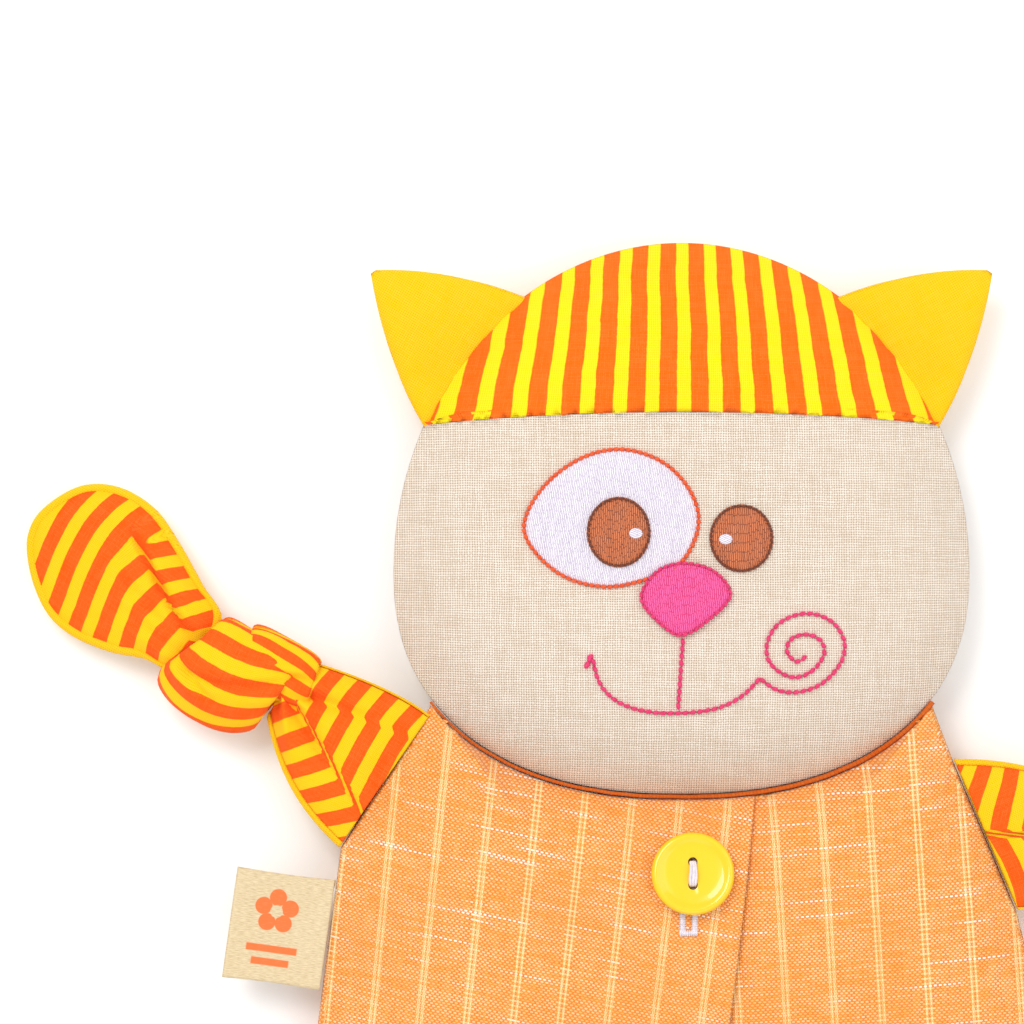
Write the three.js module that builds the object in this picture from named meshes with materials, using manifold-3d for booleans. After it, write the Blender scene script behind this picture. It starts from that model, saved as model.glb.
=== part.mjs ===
// Plush cat: a flat cloth cat with a buttoned coat over a warming pouch, and knotted arms and legs.
// Millimetres. The cat lies on its back: +X is the viewer's right, +Y points to the top of the head,
// +Z comes out of the face. The origin is on the back rest, under the middle of the body.
import * as THREE from 'three';
import { mergeVertices } from 'three/addons/utils/BufferGeometryUtils.js';
import Module from 'manifold-3d';

// cloth, thread and air
const CLOTH = 1.0; // one panel with its seam allowance
const THREAD = 0.6; // embroidery standing on the cloth
const GAP = 0.35; // air between neighbouring pieces
const PLAN_SHARE = 1.5; // a rim is drawn in this much more than a wall is thick
const SEAM_Z = 12; // side seams above the back rest
const FLAT_SHARE = 0.72; // share of the plan that lies flat on the back rest
const CROWN_POWER = 5; // how flat a stuffed front stays before it turns down to its seam

// head, about its widest line
const HEAD_Y = 103;
const HEAD_HALF = 70;
const HEAD_RISE = 80;
const HEAD_DROP = 54;
const JOWL_POWER = 2.3;
const HEAD_CROWN = 19;
const BROW_SIDE = 35; // brow seam above the widest line at the side
const BROW_MIDDLE = 42;
const BACK_BROW = 36;

// ears
const EAR_CLOTH = 1.2;
const EAR_TIP = new THREE.Vector2(12, 38); // from the outer end of the ear's root, at the brow seam
const EAR_ROOT_SPAN = 31.5; // degrees round the head
const EAR_BULGE = 2;

// body
const BODY_CROWN = 11;
const NECK_TAPE = 2;
const TAPE_HEIGHT = 3;
const NECK_HALF = 61;
const RIGHT_ARM_TOP = new THREE.Vector2(66, 57.5);
const RIGHT_ARMPIT = new THREE.Vector2(81.5, 21);
const LEFT_ARMPIT = new THREE.Vector2(-83, 36);
const WAIST = new THREE.Vector2(88.5, -6);
const HIP = new THREE.Vector2(92, -42);
const HEM_Y = -62;
const HEM_HALF = 80;

// front opening
const FLAP_TOP_X = 18;
const FLAP_SLANT = 0.118; // sideways run of the flap edge for each step down
const UNDERLAP = 26;
const BUTTON_AT = new THREE.Vector2(2.3, 30.6);
const BUTTON_RADIUS = 10;
const BUTTON_THICK = 3;
const BUTTON_RIM = 1.4;
const HOLE_RADIUS = 1.1;
const HOLE_SPACING = 5.6;
const THREAD_RADIUS = 0.7;
const SLIT_LENGTH = 21;
const SLIT_WIDTH = 1.2;
const SLIT_STITCH = 1.9;
const SLIT_DROP = 3.5; // buttonhole middle below the button's

// warming pouch
const POUCH_HALF = 62;
const POUCH_HALF_HEIGHT = 42;
const POUCH_Y = -10;

// label
const LABEL_LENGTH = 24;
const LABEL_WIDTH = 27;
const LABEL_CLOTH = 0.8;
const LABEL_FROM_ARMPIT = 8;

// limbs
const UPPER_LENGTH = 30;
const WRIST_WIDTH = 17;
const KNOT_LENGTH = 28;
const KNOT_WIDTH = 25;
const KNOT_DEPTH = 19;
const KNOT_Z = 10;
const PAW_LENGTH = 50;
const PAW_WIDTH = 37;
const PAW_TIP_Z = 3.5;
const LOFT = 3.5;
const LEG_INSIDE = 24; // leg seam from the middle line
const LEG_ROOT = 38;

// facets
const PLAN_SIDES = 40;
const NECK_STEPS = 20;
const LIMB_SIDES = 20;
const BIG = 400;

const FINISHES = {
  linen: { color: 0xe2d2bc, roughness: 0.95, metalness: 0 },
  stripe: { color: 0xff8a00, roughness: 0.9, metalness: 0 },
  yellow: { color: 0xfacd0a, roughness: 0.9, metalness: 0 },
  coat: { color: 0xf59a3c, roughness: 0.95, metalness: 0 },
  tape: { color: 0xd06818, roughness: 0.9, metalness: 0 },
  white: { color: 0xebe4f0, roughness: 0.6, metalness: 0 },
  outline: { color: 0xeb5014, roughness: 0.6, metalness: 0 },
  brown: { color: 0xa5502b, roughness: 0.6, metalness: 0 },
  pink: { color: 0xe11e6e, roughness: 0.6, metalness: 0 },
  fill: { color: 0xf2f0ea, roughness: 1, metalness: 0 },
  pouch: { color: 0xe8dcc0, roughness: 0.95, metalness: 0 },
  stones: { color: 0xb98a5a, roughness: 0.7, metalness: 0 },
  button: { color: 0xffdc00, roughness: 0.2, metalness: 0 },
  label: { color: 0xe1c896, roughness: 0.45, metalness: 0 },
};

const wasm = await Module();
wasm.setup();

// ---------------------------------------------------------------- solids and meshes

/** A closed three.js geometry as a solid that can be cut. */
function solidOf(geometry) {
  const bare = geometry.clone();
  bare.deleteAttribute('normal');
  bare.deleteAttribute('uv');
  const merged = mergeVertices(bare, 1e-4);
  const triVerts = [];
  const index = merged.index.array;
  for (let i = 0; i < index.length; i += 3) {
    const [a, b, c] = [index[i], index[i + 1], index[i + 2]];
    if (a !== b && b !== c && c !== a) triVerts.push(a, b, c);
  }
  const vertProperties = merged.attributes.position.array;
  const mesh = new wasm.Mesh({ numProp: 3, vertProperties, triVerts: Uint32Array.from(triVerts) });
  const solid = new wasm.Manifold(mesh);
  if (solid.volume() <= 0) throw new Error('a solid is open or inside out');
  return solid;
}

/** A named mesh made of a solid, in one of the finishes. */
function meshOf(name, solid, finish) {
  const { vertProperties, triVerts } = solid.getMesh();
  const geometry = new THREE.BufferGeometry();
  geometry.setAttribute('position', new THREE.BufferAttribute(vertProperties, 3));
  geometry.setIndex(new THREE.BufferAttribute(triVerts, 1));
  geometry.computeVertexNormals();
  const mesh = new THREE.Mesh(geometry, new THREE.MeshStandardMaterial(FINISHES[finish]));
  mesh.name = name;
  return mesh;
}

/** A flat shape as a prism from one height to another. */
function prism(points, low = -BIG / 2, high = BIG / 2) {
  const shape = new THREE.Shape(points);
  const geometry = new THREE.ExtrudeGeometry(shape, { depth: high - low, bevelEnabled: false });
  geometry.translate(0, 0, low);
  return solidOf(geometry);
}

/** Everything above a height, or below it. */
function halfSpace(height, above) {
  const box = new THREE.BoxGeometry(2 * BIG, 2 * BIG, BIG);
  box.translate(0, 0, height + (above ? BIG / 2 : -BIG / 2));
  return solidOf(box);
}

// ---------------------------------------------------------------- outlines

const at = (x, y) => new THREE.Vector2(x, y);
const radians = THREE.MathUtils.degToRad;
const direction = (angle) => at(Math.cos(angle), Math.sin(angle));

/** Distance from the origin to a closed outline, by angle. */
function reachOf(outline) {
  return (angle) => {
    const ray = direction(angle);
    for (let i = 0; i < outline.length; i += 1) {
      const a = outline[i];
      const side = outline[(i + 1) % outline.length].clone().sub(a);
      const across = ray.cross(side);
      const distance = a.cross(side) / across;
      const share = a.cross(ray) / across;
      if (distance > 0 && share >= -1e-9 && share <= 1 + 1e-9) return distance;
    }
    throw new Error('the outline does not close round its middle');
  };
}

/** The head's rim about its widest line: a half ellipse above, square jowls below. */
function headReach(angle) {
  const height = Math.sin(angle) > 0 ? HEAD_RISE : HEAD_DROP;
  const power = Math.sin(angle) > 0 ? 2 : JOWL_POWER;
  const side = Math.abs(Math.cos(angle) / HEAD_HALF) ** power;
  const up = Math.abs(Math.sin(angle) / height) ** power;
  return (side + up) ** (-1 / power);
}

/** A point of the head's rim in the cat's frame, moved out along the rim's normal. */
function headRim(angle, out = 0) {
  const step = 0.01;
  const point = (a) => direction(a).multiplyScalar(headReach(a));
  const along = point(angle + step).sub(point(angle - step)).normalize();
  const normal = at(along.y, -along.x);
  return point(angle).addScaledVector(normal, out).add(at(0, HEAD_Y));
}

/** The head's plan as an outline, moved out. */
function headPlan(out) {
  const turns = [...Array(PLAN_SIDES).keys()].map((i) => (i * 2 * Math.PI) / PLAN_SIDES);
  return turns.map((angle) => headRim(angle, out));
}

/** Points of the neck curve under the chin, from the left neck corner to the right one. */
function neckCurve(out) {
  const left = neckAngle(-NECK_HALF, out);
  const right = neckAngle(NECK_HALF, out);
  const steps = [...Array(NECK_STEPS + 1).keys()];
  return steps.map((i) => headRim(left + ((right - left) * i) / NECK_STEPS, out));
}

/** Angle of the rim under the jowls at a place across the neck. */
function neckAngle(x, out) {
  let low = x < 0 ? Math.PI : 1.5 * Math.PI;
  let high = x < 0 ? 1.5 * Math.PI : 2 * Math.PI;
  for (let i = 0; i < 40; i += 1) {
    const middle = (low + high) / 2;
    if (headRim(middle, out).x < x) low = middle;
    else high = middle;
  }
  return low;
}

/** The body's plan: neck curve, straight arm seams, spreading sides and a straight hem. */
function bodyPlan() {
  const neck = neckCurve(2 * GAP + NECK_TAPE).reverse();
  const mirror = (p) => at(-p.x, p.y);
  const corner = (side) => {
    const p = at(side * HIP.x, HIP.y);
    const q = at(side * HEM_HALF, HEM_Y);
    return new THREE.QuadraticBezierCurve(p, at(side * HIP.x, HEM_Y), q).getPoints(4);
  };
  return [
    ...neck, LEFT_ARMPIT, mirror(WAIST), ...corner(-1),
    ...corner(1).reverse(), WAIST, RIGHT_ARMPIT, RIGHT_ARM_TOP,
  ];
}

const bodyReach = reachOf(bodyPlan());
const LEFT_NECK = neckCurve(2 * GAP + NECK_TAPE)[0];

// ---------------------------------------------------------------- cushions

const crownAt = (share) => 1 - share ** CROWN_POWER;

/** Half section of a cushion as (share of the plan, height above the seam), bottom to top. */
function cushionSection(crown, depth) {
  const back = depth > 0 ? [at(0, -depth), at(FLAT_SHARE, -depth), at(0.87, -0.78 * depth)] : [at(0, 0)];
  const front = [0.92, 0.8, 0.6, 0.35, 0].map((share) => at(share, crown * crownAt(share)));
  return [...back, at(1, 0), ...front];
}

/** A cushion: a section turned about Z, then stretched in plan until its rim is on an outline. */
function cushion(section, reach, sides) {
  const geometry = new THREE.LatheGeometry(section, sides);
  geometry.rotateX(Math.PI / 2);
  const points = geometry.attributes.position;
  for (let i = 0; i < points.count; i += 1) {
    const share = Math.hypot(points.getX(i), points.getY(i));
    const angle = Math.atan2(points.getY(i), points.getX(i));
    const out = share > 0 ? direction(angle).multiplyScalar(share * reach(angle)) : at(0, 0);
    points.setXY(i, out.x, out.y);
  }
  return solidOf(geometry);
}

/** The head's or the body's solid, drawn in by a wall thickness. */
function drawnIn({ crown, reach, middleY }, wall) {
  const section = cushionSection(crown - wall, SEAM_Z - wall);
  const plan = (angle) => reach(angle) - PLAN_SHARE * wall;
  return cushion(section, plan, PLAN_SIDES).translate([0, middleY, SEAM_Z]);
}

/** The cloth between two depths under a surface. */
function clothLayer(form, outside, inside) {
  return drawnIn(form, outside).subtract(drawnIn(form, inside));
}

const FRONT_HALF = halfSpace(SEAM_Z + GAP / 2, true);
const BACK_HALF = halfSpace(SEAM_Z - GAP / 2, false);

/** A thread layer that follows a cushion's front, cut to a prism. */
function stitched(cover, pattern, height = THREAD) {
  const top = cover.translate([0, 0, GAP + height]);
  return top.subtract(cover.translate([0, 0, GAP])).intersect(pattern);
}

// ---------------------------------------------------------------- head

const HEAD = { crown: HEAD_CROWN, reach: headReach, middleY: HEAD_Y };
const headCover = drawnIn(HEAD, 0);

/** The part of the head above a brow seam. */
function capRegion(side, middle, out) {
  const low = HEAD_Y + side - out;
  const top = HEAD_Y + 2 * middle - side - out;
  const arch = new THREE.QuadraticBezierCurve(at(-HEAD_HALF, low), at(0, top), at(HEAD_HALF, low));
  return prism([at(-BIG, low), ...arch.getPoints(8), at(BIG, low), at(BIG, BIG), at(-BIG, BIG)]);
}

function makeHeadPanels() {
  const shell = clothLayer(HEAD, 0, CLOTH);
  const front = shell.intersect(FRONT_HALF);
  const back = shell.intersect(BACK_HALF);
  const fillWall = CLOTH + GAP;
  return [
    meshOf('face_panel', front.subtract(capRegion(BROW_SIDE, BROW_MIDDLE, GAP)), 'linen'),
    meshOf('cap_front_panel', front.intersect(capRegion(BROW_SIDE, BROW_MIDDLE, 0)), 'stripe'),
    meshOf('head_back_panel', back.subtract(capRegion(BACK_BROW, BACK_BROW, GAP)), 'linen'),
    meshOf('cap_back_panel', back.intersect(capRegion(BACK_BROW, BACK_BROW, 0)), 'stripe'),
    meshOf('head_filling', drawnIn(HEAD, fillWall), 'fill'),
  ];
}

/** A closed smooth outline through a few points. */
function smoothLoop(points, count) {
  const curve = new THREE.CatmullRomCurve3(points.map((p) => new THREE.Vector3(p[0], p[1], 0)), true);
  return curve.getPoints(count).slice(0, count).map((p) => at(p.x, p.y));
}

/** An ellipse as an outline. */
function ellipse(x, y, halfWidth, halfHeight, count = 20) {
  const curve = new THREE.EllipseCurve(x, y, halfWidth, halfHeight);
  return curve.getPoints(count).slice(0, count);
}

/** A closed outline moved out along its normals. */
function grown(loop, out) {
  const area = THREE.ShapeUtils.area(loop);
  return loop.map((p, i) => {
    const before = loop[(i + loop.length - 1) % loop.length];
    const after = loop[(i + 1) % loop.length];
    const along = after.clone().sub(before).normalize();
    return p.clone().addScaledVector(at(along.y, -along.x), Math.sign(area) * out);
  });
}

/** A ring of stitches along a closed outline. */
function ring(loop, width) {
  return prism(grown(loop, width / 2)).subtract(prism(grown(loop, -width / 2)));
}

/** A line of stitches: the outline of a band along points. */
function band(points, width) {
  const sides = [1, -1].map((side) => points.map((p, i) => {
    const before = points[Math.max(i - 1, 0)];
    const after = points[Math.min(i + 1, points.length - 1)];
    const along = after.clone().sub(before).normalize();
    return p.clone().add(at(-along.y, along.x).multiplyScalar((side * width) / 2));
  }));
  return [...sides[0], ...sides[1].reverse()];
}

const EYE_SHAPE = [
  [-38, 12], [-33, 21], [-24, 28], [-14, 29.5], [-4, 26], [2.5, 18], [3, 9], [-4, 0], [-18, -3.4], [-32, 1],
];
const NOSE_SHAPE = [
  [-0.7, 2.4], [-7, 0], [-10.4, -6], [-6.8, -11], [-0.5, -15], [7.6, -10], [11, -4.8], [7, 0.6],
];
const BIG_IRIS = { x: -15.7, y: 9.8, halfWidth: 7.7, halfHeight: 8.5, glintX: 4.1 };
const SMALL_IRIS = { x: 13.7, y: 8.2, halfWidth: 7.7, halfHeight: 8.2, glintX: -3.8 };
const GLINT = { halfWidth: 1.6, halfHeight: 1.2 };
const LINE_WIDTH = 1.1;
const SMILE = [[-22.2, -20], [-19, -28], [-9.2, -33.2], [4.8, -33.2], [13, -30.2], [18.1, -25.2]];
const LIP_MIDDLE = at(-1.5, -33.4);
const CURL = { x: 28.7, y: -18.7, radius: 10, turns: 2.2, start: 226 };

function irisPieces(name, iris) {
  const { x, y, halfWidth, halfHeight, glintX } = iris;
  const whole = prism(ellipse(x, y, halfWidth, halfHeight));
  const spot = (out) => prism(ellipse(x + glintX, y, GLINT.halfWidth + out, GLINT.halfHeight + out, 10));
  return {
    patch: [`${name}_iris`, whole.subtract(spot(GAP)), 'brown'],
    glint: [`${name}_glint`, spot(0), 'white'],
    room: prism(ellipse(x, y, halfWidth + GAP, halfHeight + GAP)),
  };
}

/** The smile, the line from the nose and the cheek curl, as one line of thread. */
function mouthPattern() {
  const smile = new THREE.SplineCurve(SMILE.map((p) => at(...p))).getPoints(16);
  const turn = (i) => radians(CURL.start) + (i / 40) * CURL.turns * 2 * Math.PI;
  const radius = (i) => CURL.radius * (1 - i / 44) ** 0.62;
  const curl = [...Array(41).keys()].map((i) => {
    return direction(turn(i)).multiplyScalar(radius(i)).add(at(CURL.x, CURL.y));
  });
  const noseTip = at(-0.5, NOSE_SHAPE[4][1] - LINE_WIDTH / 2 - 2 * GAP);
  const lines = [smile, [at(...SMILE.at(-1)), ...curl], [noseTip, LIP_MIDDLE]];
  return lines.map((line) => prism(band(line, LINE_WIDTH))).reduce((a, b) => a.add(b));
}

function makeEmbroidery() {
  const bigEye = irisPieces('big', BIG_IRIS);
  const smallEye = irisPieces('small', SMALL_IRIS);
  const noseLoop = smoothLoop(NOSE_SHAPE, 18);
  const noseRoom = prism(grown(noseLoop, GAP));
  const eyeLoop = smoothLoop(EYE_SHAPE, 26);
  const eye = prism(grown(eyeLoop, -LINE_WIDTH / 2 - GAP));
  const patterns = [
    ['eye_white', eye.subtract(bigEye.room).subtract(noseRoom), 'white'],
    ['eye_outline', ring(eyeLoop, LINE_WIDTH).subtract(noseRoom), 'outline'],
    bigEye.patch,
    bigEye.glint,
    smallEye.patch,
    smallEye.glint,
    ['nose', prism(noseLoop), 'pink'],
    ['mouth_and_curl', mouthPattern(), 'pink'],
  ];
  return patterns.map(([name, pattern, finish]) => {
    return meshOf(name, stitched(headCover, pattern.translate([0, HEAD_Y, 0])), finish);
  });
}

// ---------------------------------------------------------------- ears

/** The ear on one side: -1 is the viewer's left. */
function earPlan(side) {
  const outerAngle = Math.atan2(BROW_SIDE, HEAD_HALF * Math.sqrt(1 - (BROW_SIDE / HEAD_RISE) ** 2));
  const outer = headRim(outerAngle);
  const inner = headRim(outerAngle + radians(EAR_ROOT_SPAN));
  const tip = EAR_TIP.clone().add(outer);
  const bulged = (a, b, sign) => {
    const along = b.clone().sub(a).normalize();
    return a.clone().lerp(b, 0.5).addScaledVector(at(along.y, -along.x), sign * 2 * EAR_BULGE);
  };
  const low = new THREE.QuadraticBezierCurve(outer, bulged(outer, tip, 1), tip).getPoints(6);
  const high = new THREE.QuadraticBezierCurve(tip, bulged(tip, inner, 1), inner).getPoints(6);
  const points = [...low, ...high.slice(1), at(0, HEAD_Y)];
  return side > 0 ? points : points.map((p) => at(-p.x, p.y)).reverse();
}

function makeEar(name, side) {
  const plan = earPlan(side);
  const headRoom = prism(headPlan(GAP));
  const front = prism(plan, SEAM_Z + GAP / 2, SEAM_Z + GAP / 2 + EAR_CLOTH);
  const back = prism(plan, SEAM_Z - GAP / 2 - EAR_CLOTH, SEAM_Z - GAP / 2);
  return [
    meshOf(`${name}_front`, front.subtract(headRoom), 'yellow'),
    meshOf(`${name}_back`, back.subtract(headRoom), 'yellow'),
  ];
}

// ---------------------------------------------------------------- body

const BODY = { crown: BODY_CROWN, reach: bodyReach, middleY: 0 };
const bodyCover = drawnIn(BODY, 0);

/** The part of the body to the right of the flap's edge, moved sideways. */
function rightOfFlap(shift) {
  const edge = (y) => FLAP_TOP_X + shift + FLAP_SLANT * (y - HEAD_Y + HEAD_DROP);
  return prism([at(edge(-BIG), -BIG), at(BIG, -BIG), at(BIG, BIG), at(edge(BIG), BIG)]);
}

function makeBodyPanels() {
  const layer = (outside, inside) => clothLayer(BODY, outside, inside);
  const neckRoom = prism([
    ...neckCurve(2 * GAP + NECK_TAPE), at(NECK_HALF, BIG), at(-NECK_HALF, BIG),
  ]);
  const outer = layer(0, CLOTH).subtract(neckRoom);
  const front = outer.intersect(FRONT_HALF);
  const lapTop = CLOTH + GAP;
  const lapBottom = 2 * CLOTH + GAP;
  const lap = layer(lapTop, lapBottom).intersect(rightOfFlap(-UNDERLAP)).subtract(rightOfFlap(2 * CLOTH));
  const fold = layer(0, lapBottom).intersect(rightOfFlap(GAP)).subtract(rightOfFlap(2 * CLOTH));
  const right = front.intersect(rightOfFlap(GAP)).add(lap.add(fold).intersect(FRONT_HALF));
  const tape = [...neckCurve(GAP), ...neckCurve(GAP + NECK_TAPE).reverse()];
  return [
    meshOf('front_left_panel', front.subtract(rightOfFlap(0)), 'coat'),
    meshOf('front_right_panel', right, 'coat'),
    meshOf('back_panel', outer.intersect(BACK_HALF), 'coat'),
    meshOf('neck_tape', prism(tape, SEAM_Z - TAPE_HEIGHT / 2, SEAM_Z + TAPE_HEIGHT / 2), 'tape'),
  ];
}

/** The pouch lies on the back panel, in two cloths round a fill of cherry stones. */
function makePouch() {
  const reach = (angle) => {
    const side = (Math.cos(angle) / POUCH_HALF) ** 4 + (Math.sin(angle) / POUCH_HALF_HEIGHT) ** 4;
    return side ** -0.25;
  };
  const floor = CLOTH + GAP;
  const roof = BODY_CROWN - 2 * CLOTH - 3 * GAP;
  const bag = (wall) => {
    const section = [
      at(0, -SEAM_Z + floor + wall), at(0.8, -SEAM_Z + floor + wall), at(1, 0),
      at(0.8, 0.5 * (roof - wall)), at(0.4, 0.85 * (roof - wall)), at(0, 0.87 * (roof - wall)),
    ];
    return cushion(section, (angle) => reach(angle) - PLAN_SHARE * wall, LIMB_SIDES)
      .translate([0, POUCH_Y, SEAM_Z]);
  };
  const cover = bag(0).subtract(bag(CLOTH));
  return [
    meshOf('pouch_front', cover.intersect(FRONT_HALF), 'pouch'),
    meshOf('pouch_back', cover.intersect(BACK_HALF), 'pouch'),
    meshOf('cherry_stone_filling', bag(CLOTH + GAP), 'stones'),
  ];
}

// ---------------------------------------------------------------- button

/** Height of the coat's front over a point of the plan. */
function coatHeight(point) {
  return SEAM_Z + BODY_CROWN * crownAt(point.length() / bodyReach(point.angle()));
}

function makeButton() {
  const rim = BUTTON_RADIUS - BUTTON_RIM;
  const section = [
    at(0, 0), at(BUTTON_RADIUS - 1, 0), at(BUTTON_RADIUS, 1), at(BUTTON_RADIUS, BUTTON_THICK - 0.6),
    at(BUTTON_RADIUS - 0.6, BUTTON_THICK), at(rim, BUTTON_THICK), at(rim - 0.8, BUTTON_THICK - 0.8),
    at(0, BUTTON_THICK - 0.8),
  ];
  const disc = new THREE.LatheGeometry(section, 32);
  disc.rotateX(Math.PI / 2);
  const ends = [-1, 1].map((side) => (side * HOLE_SPACING) / 2);
  const peg = (radius, y, low, high) => prism(ellipse(0, y, radius, radius, 10), low, high);
  const holes = ends.map((y) => peg(HOLE_RADIUS, y, -BIG / 4, BIG / 4)).reduce((a, b) => a.add(b));
  const over = BUTTON_THICK - 0.8 + GAP;
  const legs = ends.map((y) => peg(THREAD_RADIUS, y, 0, over + THREAD_RADIUS));
  const sides = [-THREAD_RADIUS, THREAD_RADIUS];
  const corners = [at(sides[0], ends[0]), at(sides[1], ends[0]), at(sides[1], ends[1]), at(sides[0], ends[1])];
  const bridge = prism(corners, over, over + 2 * THREAD_RADIUS);
  const group = new THREE.Group();
  group.add(meshOf('button', solidOf(disc).subtract(holes), 'button'));
  group.add(meshOf('button_thread', bridge.add(legs[0]).add(legs[1]), 'white'));
  group.position.set(BUTTON_AT.x, BUTTON_AT.y, coatHeight(BUTTON_AT) + THREAD + 3 * GAP);
  group.rotation.x = -Math.atan(coatSlope(BUTTON_AT));
  return group;
}

/** How fast the coat's front drops towards the neck at a point. */
function coatSlope(point) {
  const step = at(0, 1);
  return (coatHeight(point.clone().sub(step)) - coatHeight(point.clone().add(step))) / 2;
}

function makeButtonhole() {
  const slot = (out) => {
    const half = SLIT_WIDTH / 2 + out;
    const end = SLIT_LENGTH / 2 + out;
    return [at(-half, -end), at(half, -end), at(half, end), at(-half, end)];
  };
  const edging = prism(slot(SLIT_STITCH)).subtract(prism(slot(0)));
  const place = [BUTTON_AT.x - 1, BUTTON_AT.y - SLIT_DROP, 0];
  return meshOf('buttonhole_stitching', stitched(bodyCover, edging.translate(place)), 'white');
}

// ---------------------------------------------------------------- label

/** A group seated on the line between two points, its X pointing out of the body. */
function seat(top, bottom) {
  const group = new THREE.Group();
  const along = bottom.clone().sub(top);
  const middle = top.clone().lerp(bottom, 0.5);
  group.position.set(middle.x, middle.y, SEAM_Z);
  const outward = middle.dot(at(-along.y, along.x)) > 0 ? at(-along.y, along.x) : at(along.y, -along.x);
  group.rotation.order = 'ZYX';
  group.rotation.z = outward.angle();
  return group;
}

function makeLabel() {
  const side = at(-WAIST.x, WAIST.y).sub(LEFT_ARMPIT).normalize();
  const top = LEFT_ARMPIT.clone().addScaledVector(side, LABEL_FROM_ARMPIT);
  const group = seat(top, top.clone().addScaledVector(side, LABEL_WIDTH));
  const half = LABEL_WIDTH / 2;
  const reach = GAP + LABEL_LENGTH;
  const corners = [at(GAP, -half), at(reach, -half), at(reach, half), at(GAP, half)];
  group.add(meshOf('side_label', prism(corners, -LABEL_CLOTH / 2, LABEL_CLOTH / 2), 'label'));
  return group;
}

// ---------------------------------------------------------------- limbs

/** Two cloths of a flat limb section, meeting at its seam, about a middle on the limb's line. */
function clothPair(name, plan, middle) {
  const reach = reachOf(plan.map((p) => p.clone().sub(middle)));
  const half = cushionSection(LOFT, 0);
  const front = cushion(half, reach, LIMB_SIDES).translate([middle.x, middle.y, GAP / 2]);
  return [
    meshOf(`${name}_front`, front, 'stripe'),
    meshOf(`${name}_back`, front.mirror([0, 0, 1]), 'yellow'),
  ];
}

/** From the body seam to the wrist, narrowing, its end leaning sideways and square to the knot. */
function upperPlan(root, lean, knotTurn) {
  const half = root / 2;
  const wrist = WRIST_WIDTH / 2;
  const bend = UPPER_LENGTH / 2;
  const narrow = (half + wrist) / 2 - 2;
  const corner = (side) => {
    return at(-GAP, side * wrist).rotateAround(at(0, 0), radians(knotTurn)).add(at(UPPER_LENGTH, lean));
  };
  return [
    at(GAP, -half), at(bend, lean / 2 - narrow), corner(-1),
    corner(1), at(bend, lean / 2 + narrow), at(GAP, half),
  ];
}

/** A leaf-shaped hand or foot, from the knot to its tip. */
function pawPlan() {
  const wrist = WRIST_WIDTH / 2;
  const half = PAW_WIDTH / 2;
  const edge = [
    [GAP, wrist], [0.25 * PAW_LENGTH, 0.75 * half], [0.55 * PAW_LENGTH, half],
    [0.8 * PAW_LENGTH, 0.93 * half], [0.95 * PAW_LENGTH, 0.6 * half], [PAW_LENGTH, 0],
  ];
  const upper = new THREE.SplineCurve(edge.map((p) => at(...p))).getPoints(12);
  const lower = upper.slice(0, -1).map((p) => at(p.x, -p.y)).reverse();
  return [...upper, ...lower];
}

function makeKnot(name) {
  const ball = new THREE.SphereGeometry(1, 14, 8);
  ball.rotateZ(Math.PI / 2);
  ball.scale(KNOT_LENGTH / 2 - GAP, KNOT_WIDTH / 2, KNOT_DEPTH / 2);
  ball.translate(KNOT_LENGTH / 2, 0, 0);
  return meshOf(name, solidOf(ball), 'stripe');
}

/**
 * A limb on its seam: the upper cloths, the knot and the hand or foot, each in the group of the one
 * before. The limb drops from the seam to the floor.
 */
function makeLimb(names, limb) {
  const { top, bottom, lean, knotTurn, pawTurn } = limb;
  const group = seat(top, bottom);
  const fall = (drop, length) => Math.asin(drop / length);
  const upperPitch = fall(SEAM_Z - KNOT_Z, UPPER_LENGTH);
  group.rotation.y = upperPitch;
  const plan = upperPlan(top.distanceTo(bottom), lean, knotTurn);
  group.add(...clothPair(names.upper, plan, at(UPPER_LENGTH / 2, lean / 2)));
  const knot = new THREE.Group();
  knot.position.set(UPPER_LENGTH, lean, 0);
  knot.rotation.set(0, -upperPitch, radians(knotTurn), 'ZYX');
  knot.add(makeKnot(names.knot));
  const paw = new THREE.Group();
  paw.position.set(KNOT_LENGTH, 0, 0);
  paw.rotation.set(0, fall(KNOT_Z - PAW_TIP_Z, PAW_LENGTH), radians(pawTurn), 'ZYX');
  paw.add(...clothPair(names.paw, pawPlan(), at(PAW_LENGTH / 2, 0)));
  knot.add(paw);
  group.add(knot);
  return group;
}

/** The leg seam on one side of the hem. */
function legSeat(side) {
  return {
    top: at(side * LEG_INSIDE, HEM_Y),
    bottom: at(side * (LEG_INSIDE + LEG_ROOT), HEM_Y),
    lean: side * 3,
    knotTurn: side * 6,
    pawTurn: side * 4,
  };
}

const LIMBS = {
  left_arm: { top: LEFT_NECK, bottom: LEFT_ARMPIT, lean: -5, knotTurn: 8, pawTurn: -8 },
  right_arm: { top: RIGHT_ARM_TOP, bottom: RIGHT_ARMPIT, lean: -14, knotTurn: -38, pawTurn: -10 },
  left_leg: legSeat(-1),
  right_leg: legSeat(1),
};

function limbNames(limb) {
  const isArm = limb.endsWith('arm');
  const side = limb.split('_')[0];
  const paw = `${side}_${isArm ? 'hand' : 'foot'}`;
  return { upper: `${limb}_upper`, knot: `${limb}_knot`, paw };
}

// ---------------------------------------------------------------- the cat

const cat = new THREE.Group();
cat.add(...makeHeadPanels());
cat.add(...makeEmbroidery());
cat.add(...makeEar('left_ear', -1));
cat.add(...makeEar('right_ear', 1));
cat.add(...makeBodyPanels());
cat.add(...makePouch());
cat.add(makeButton());
cat.add(makeButtonhole());
cat.add(makeLabel());
for (const [limb, place] of Object.entries(LIMBS)) {
  cat.add(makeLimb(limbNames(limb), place));
}

export default cat;
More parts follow.
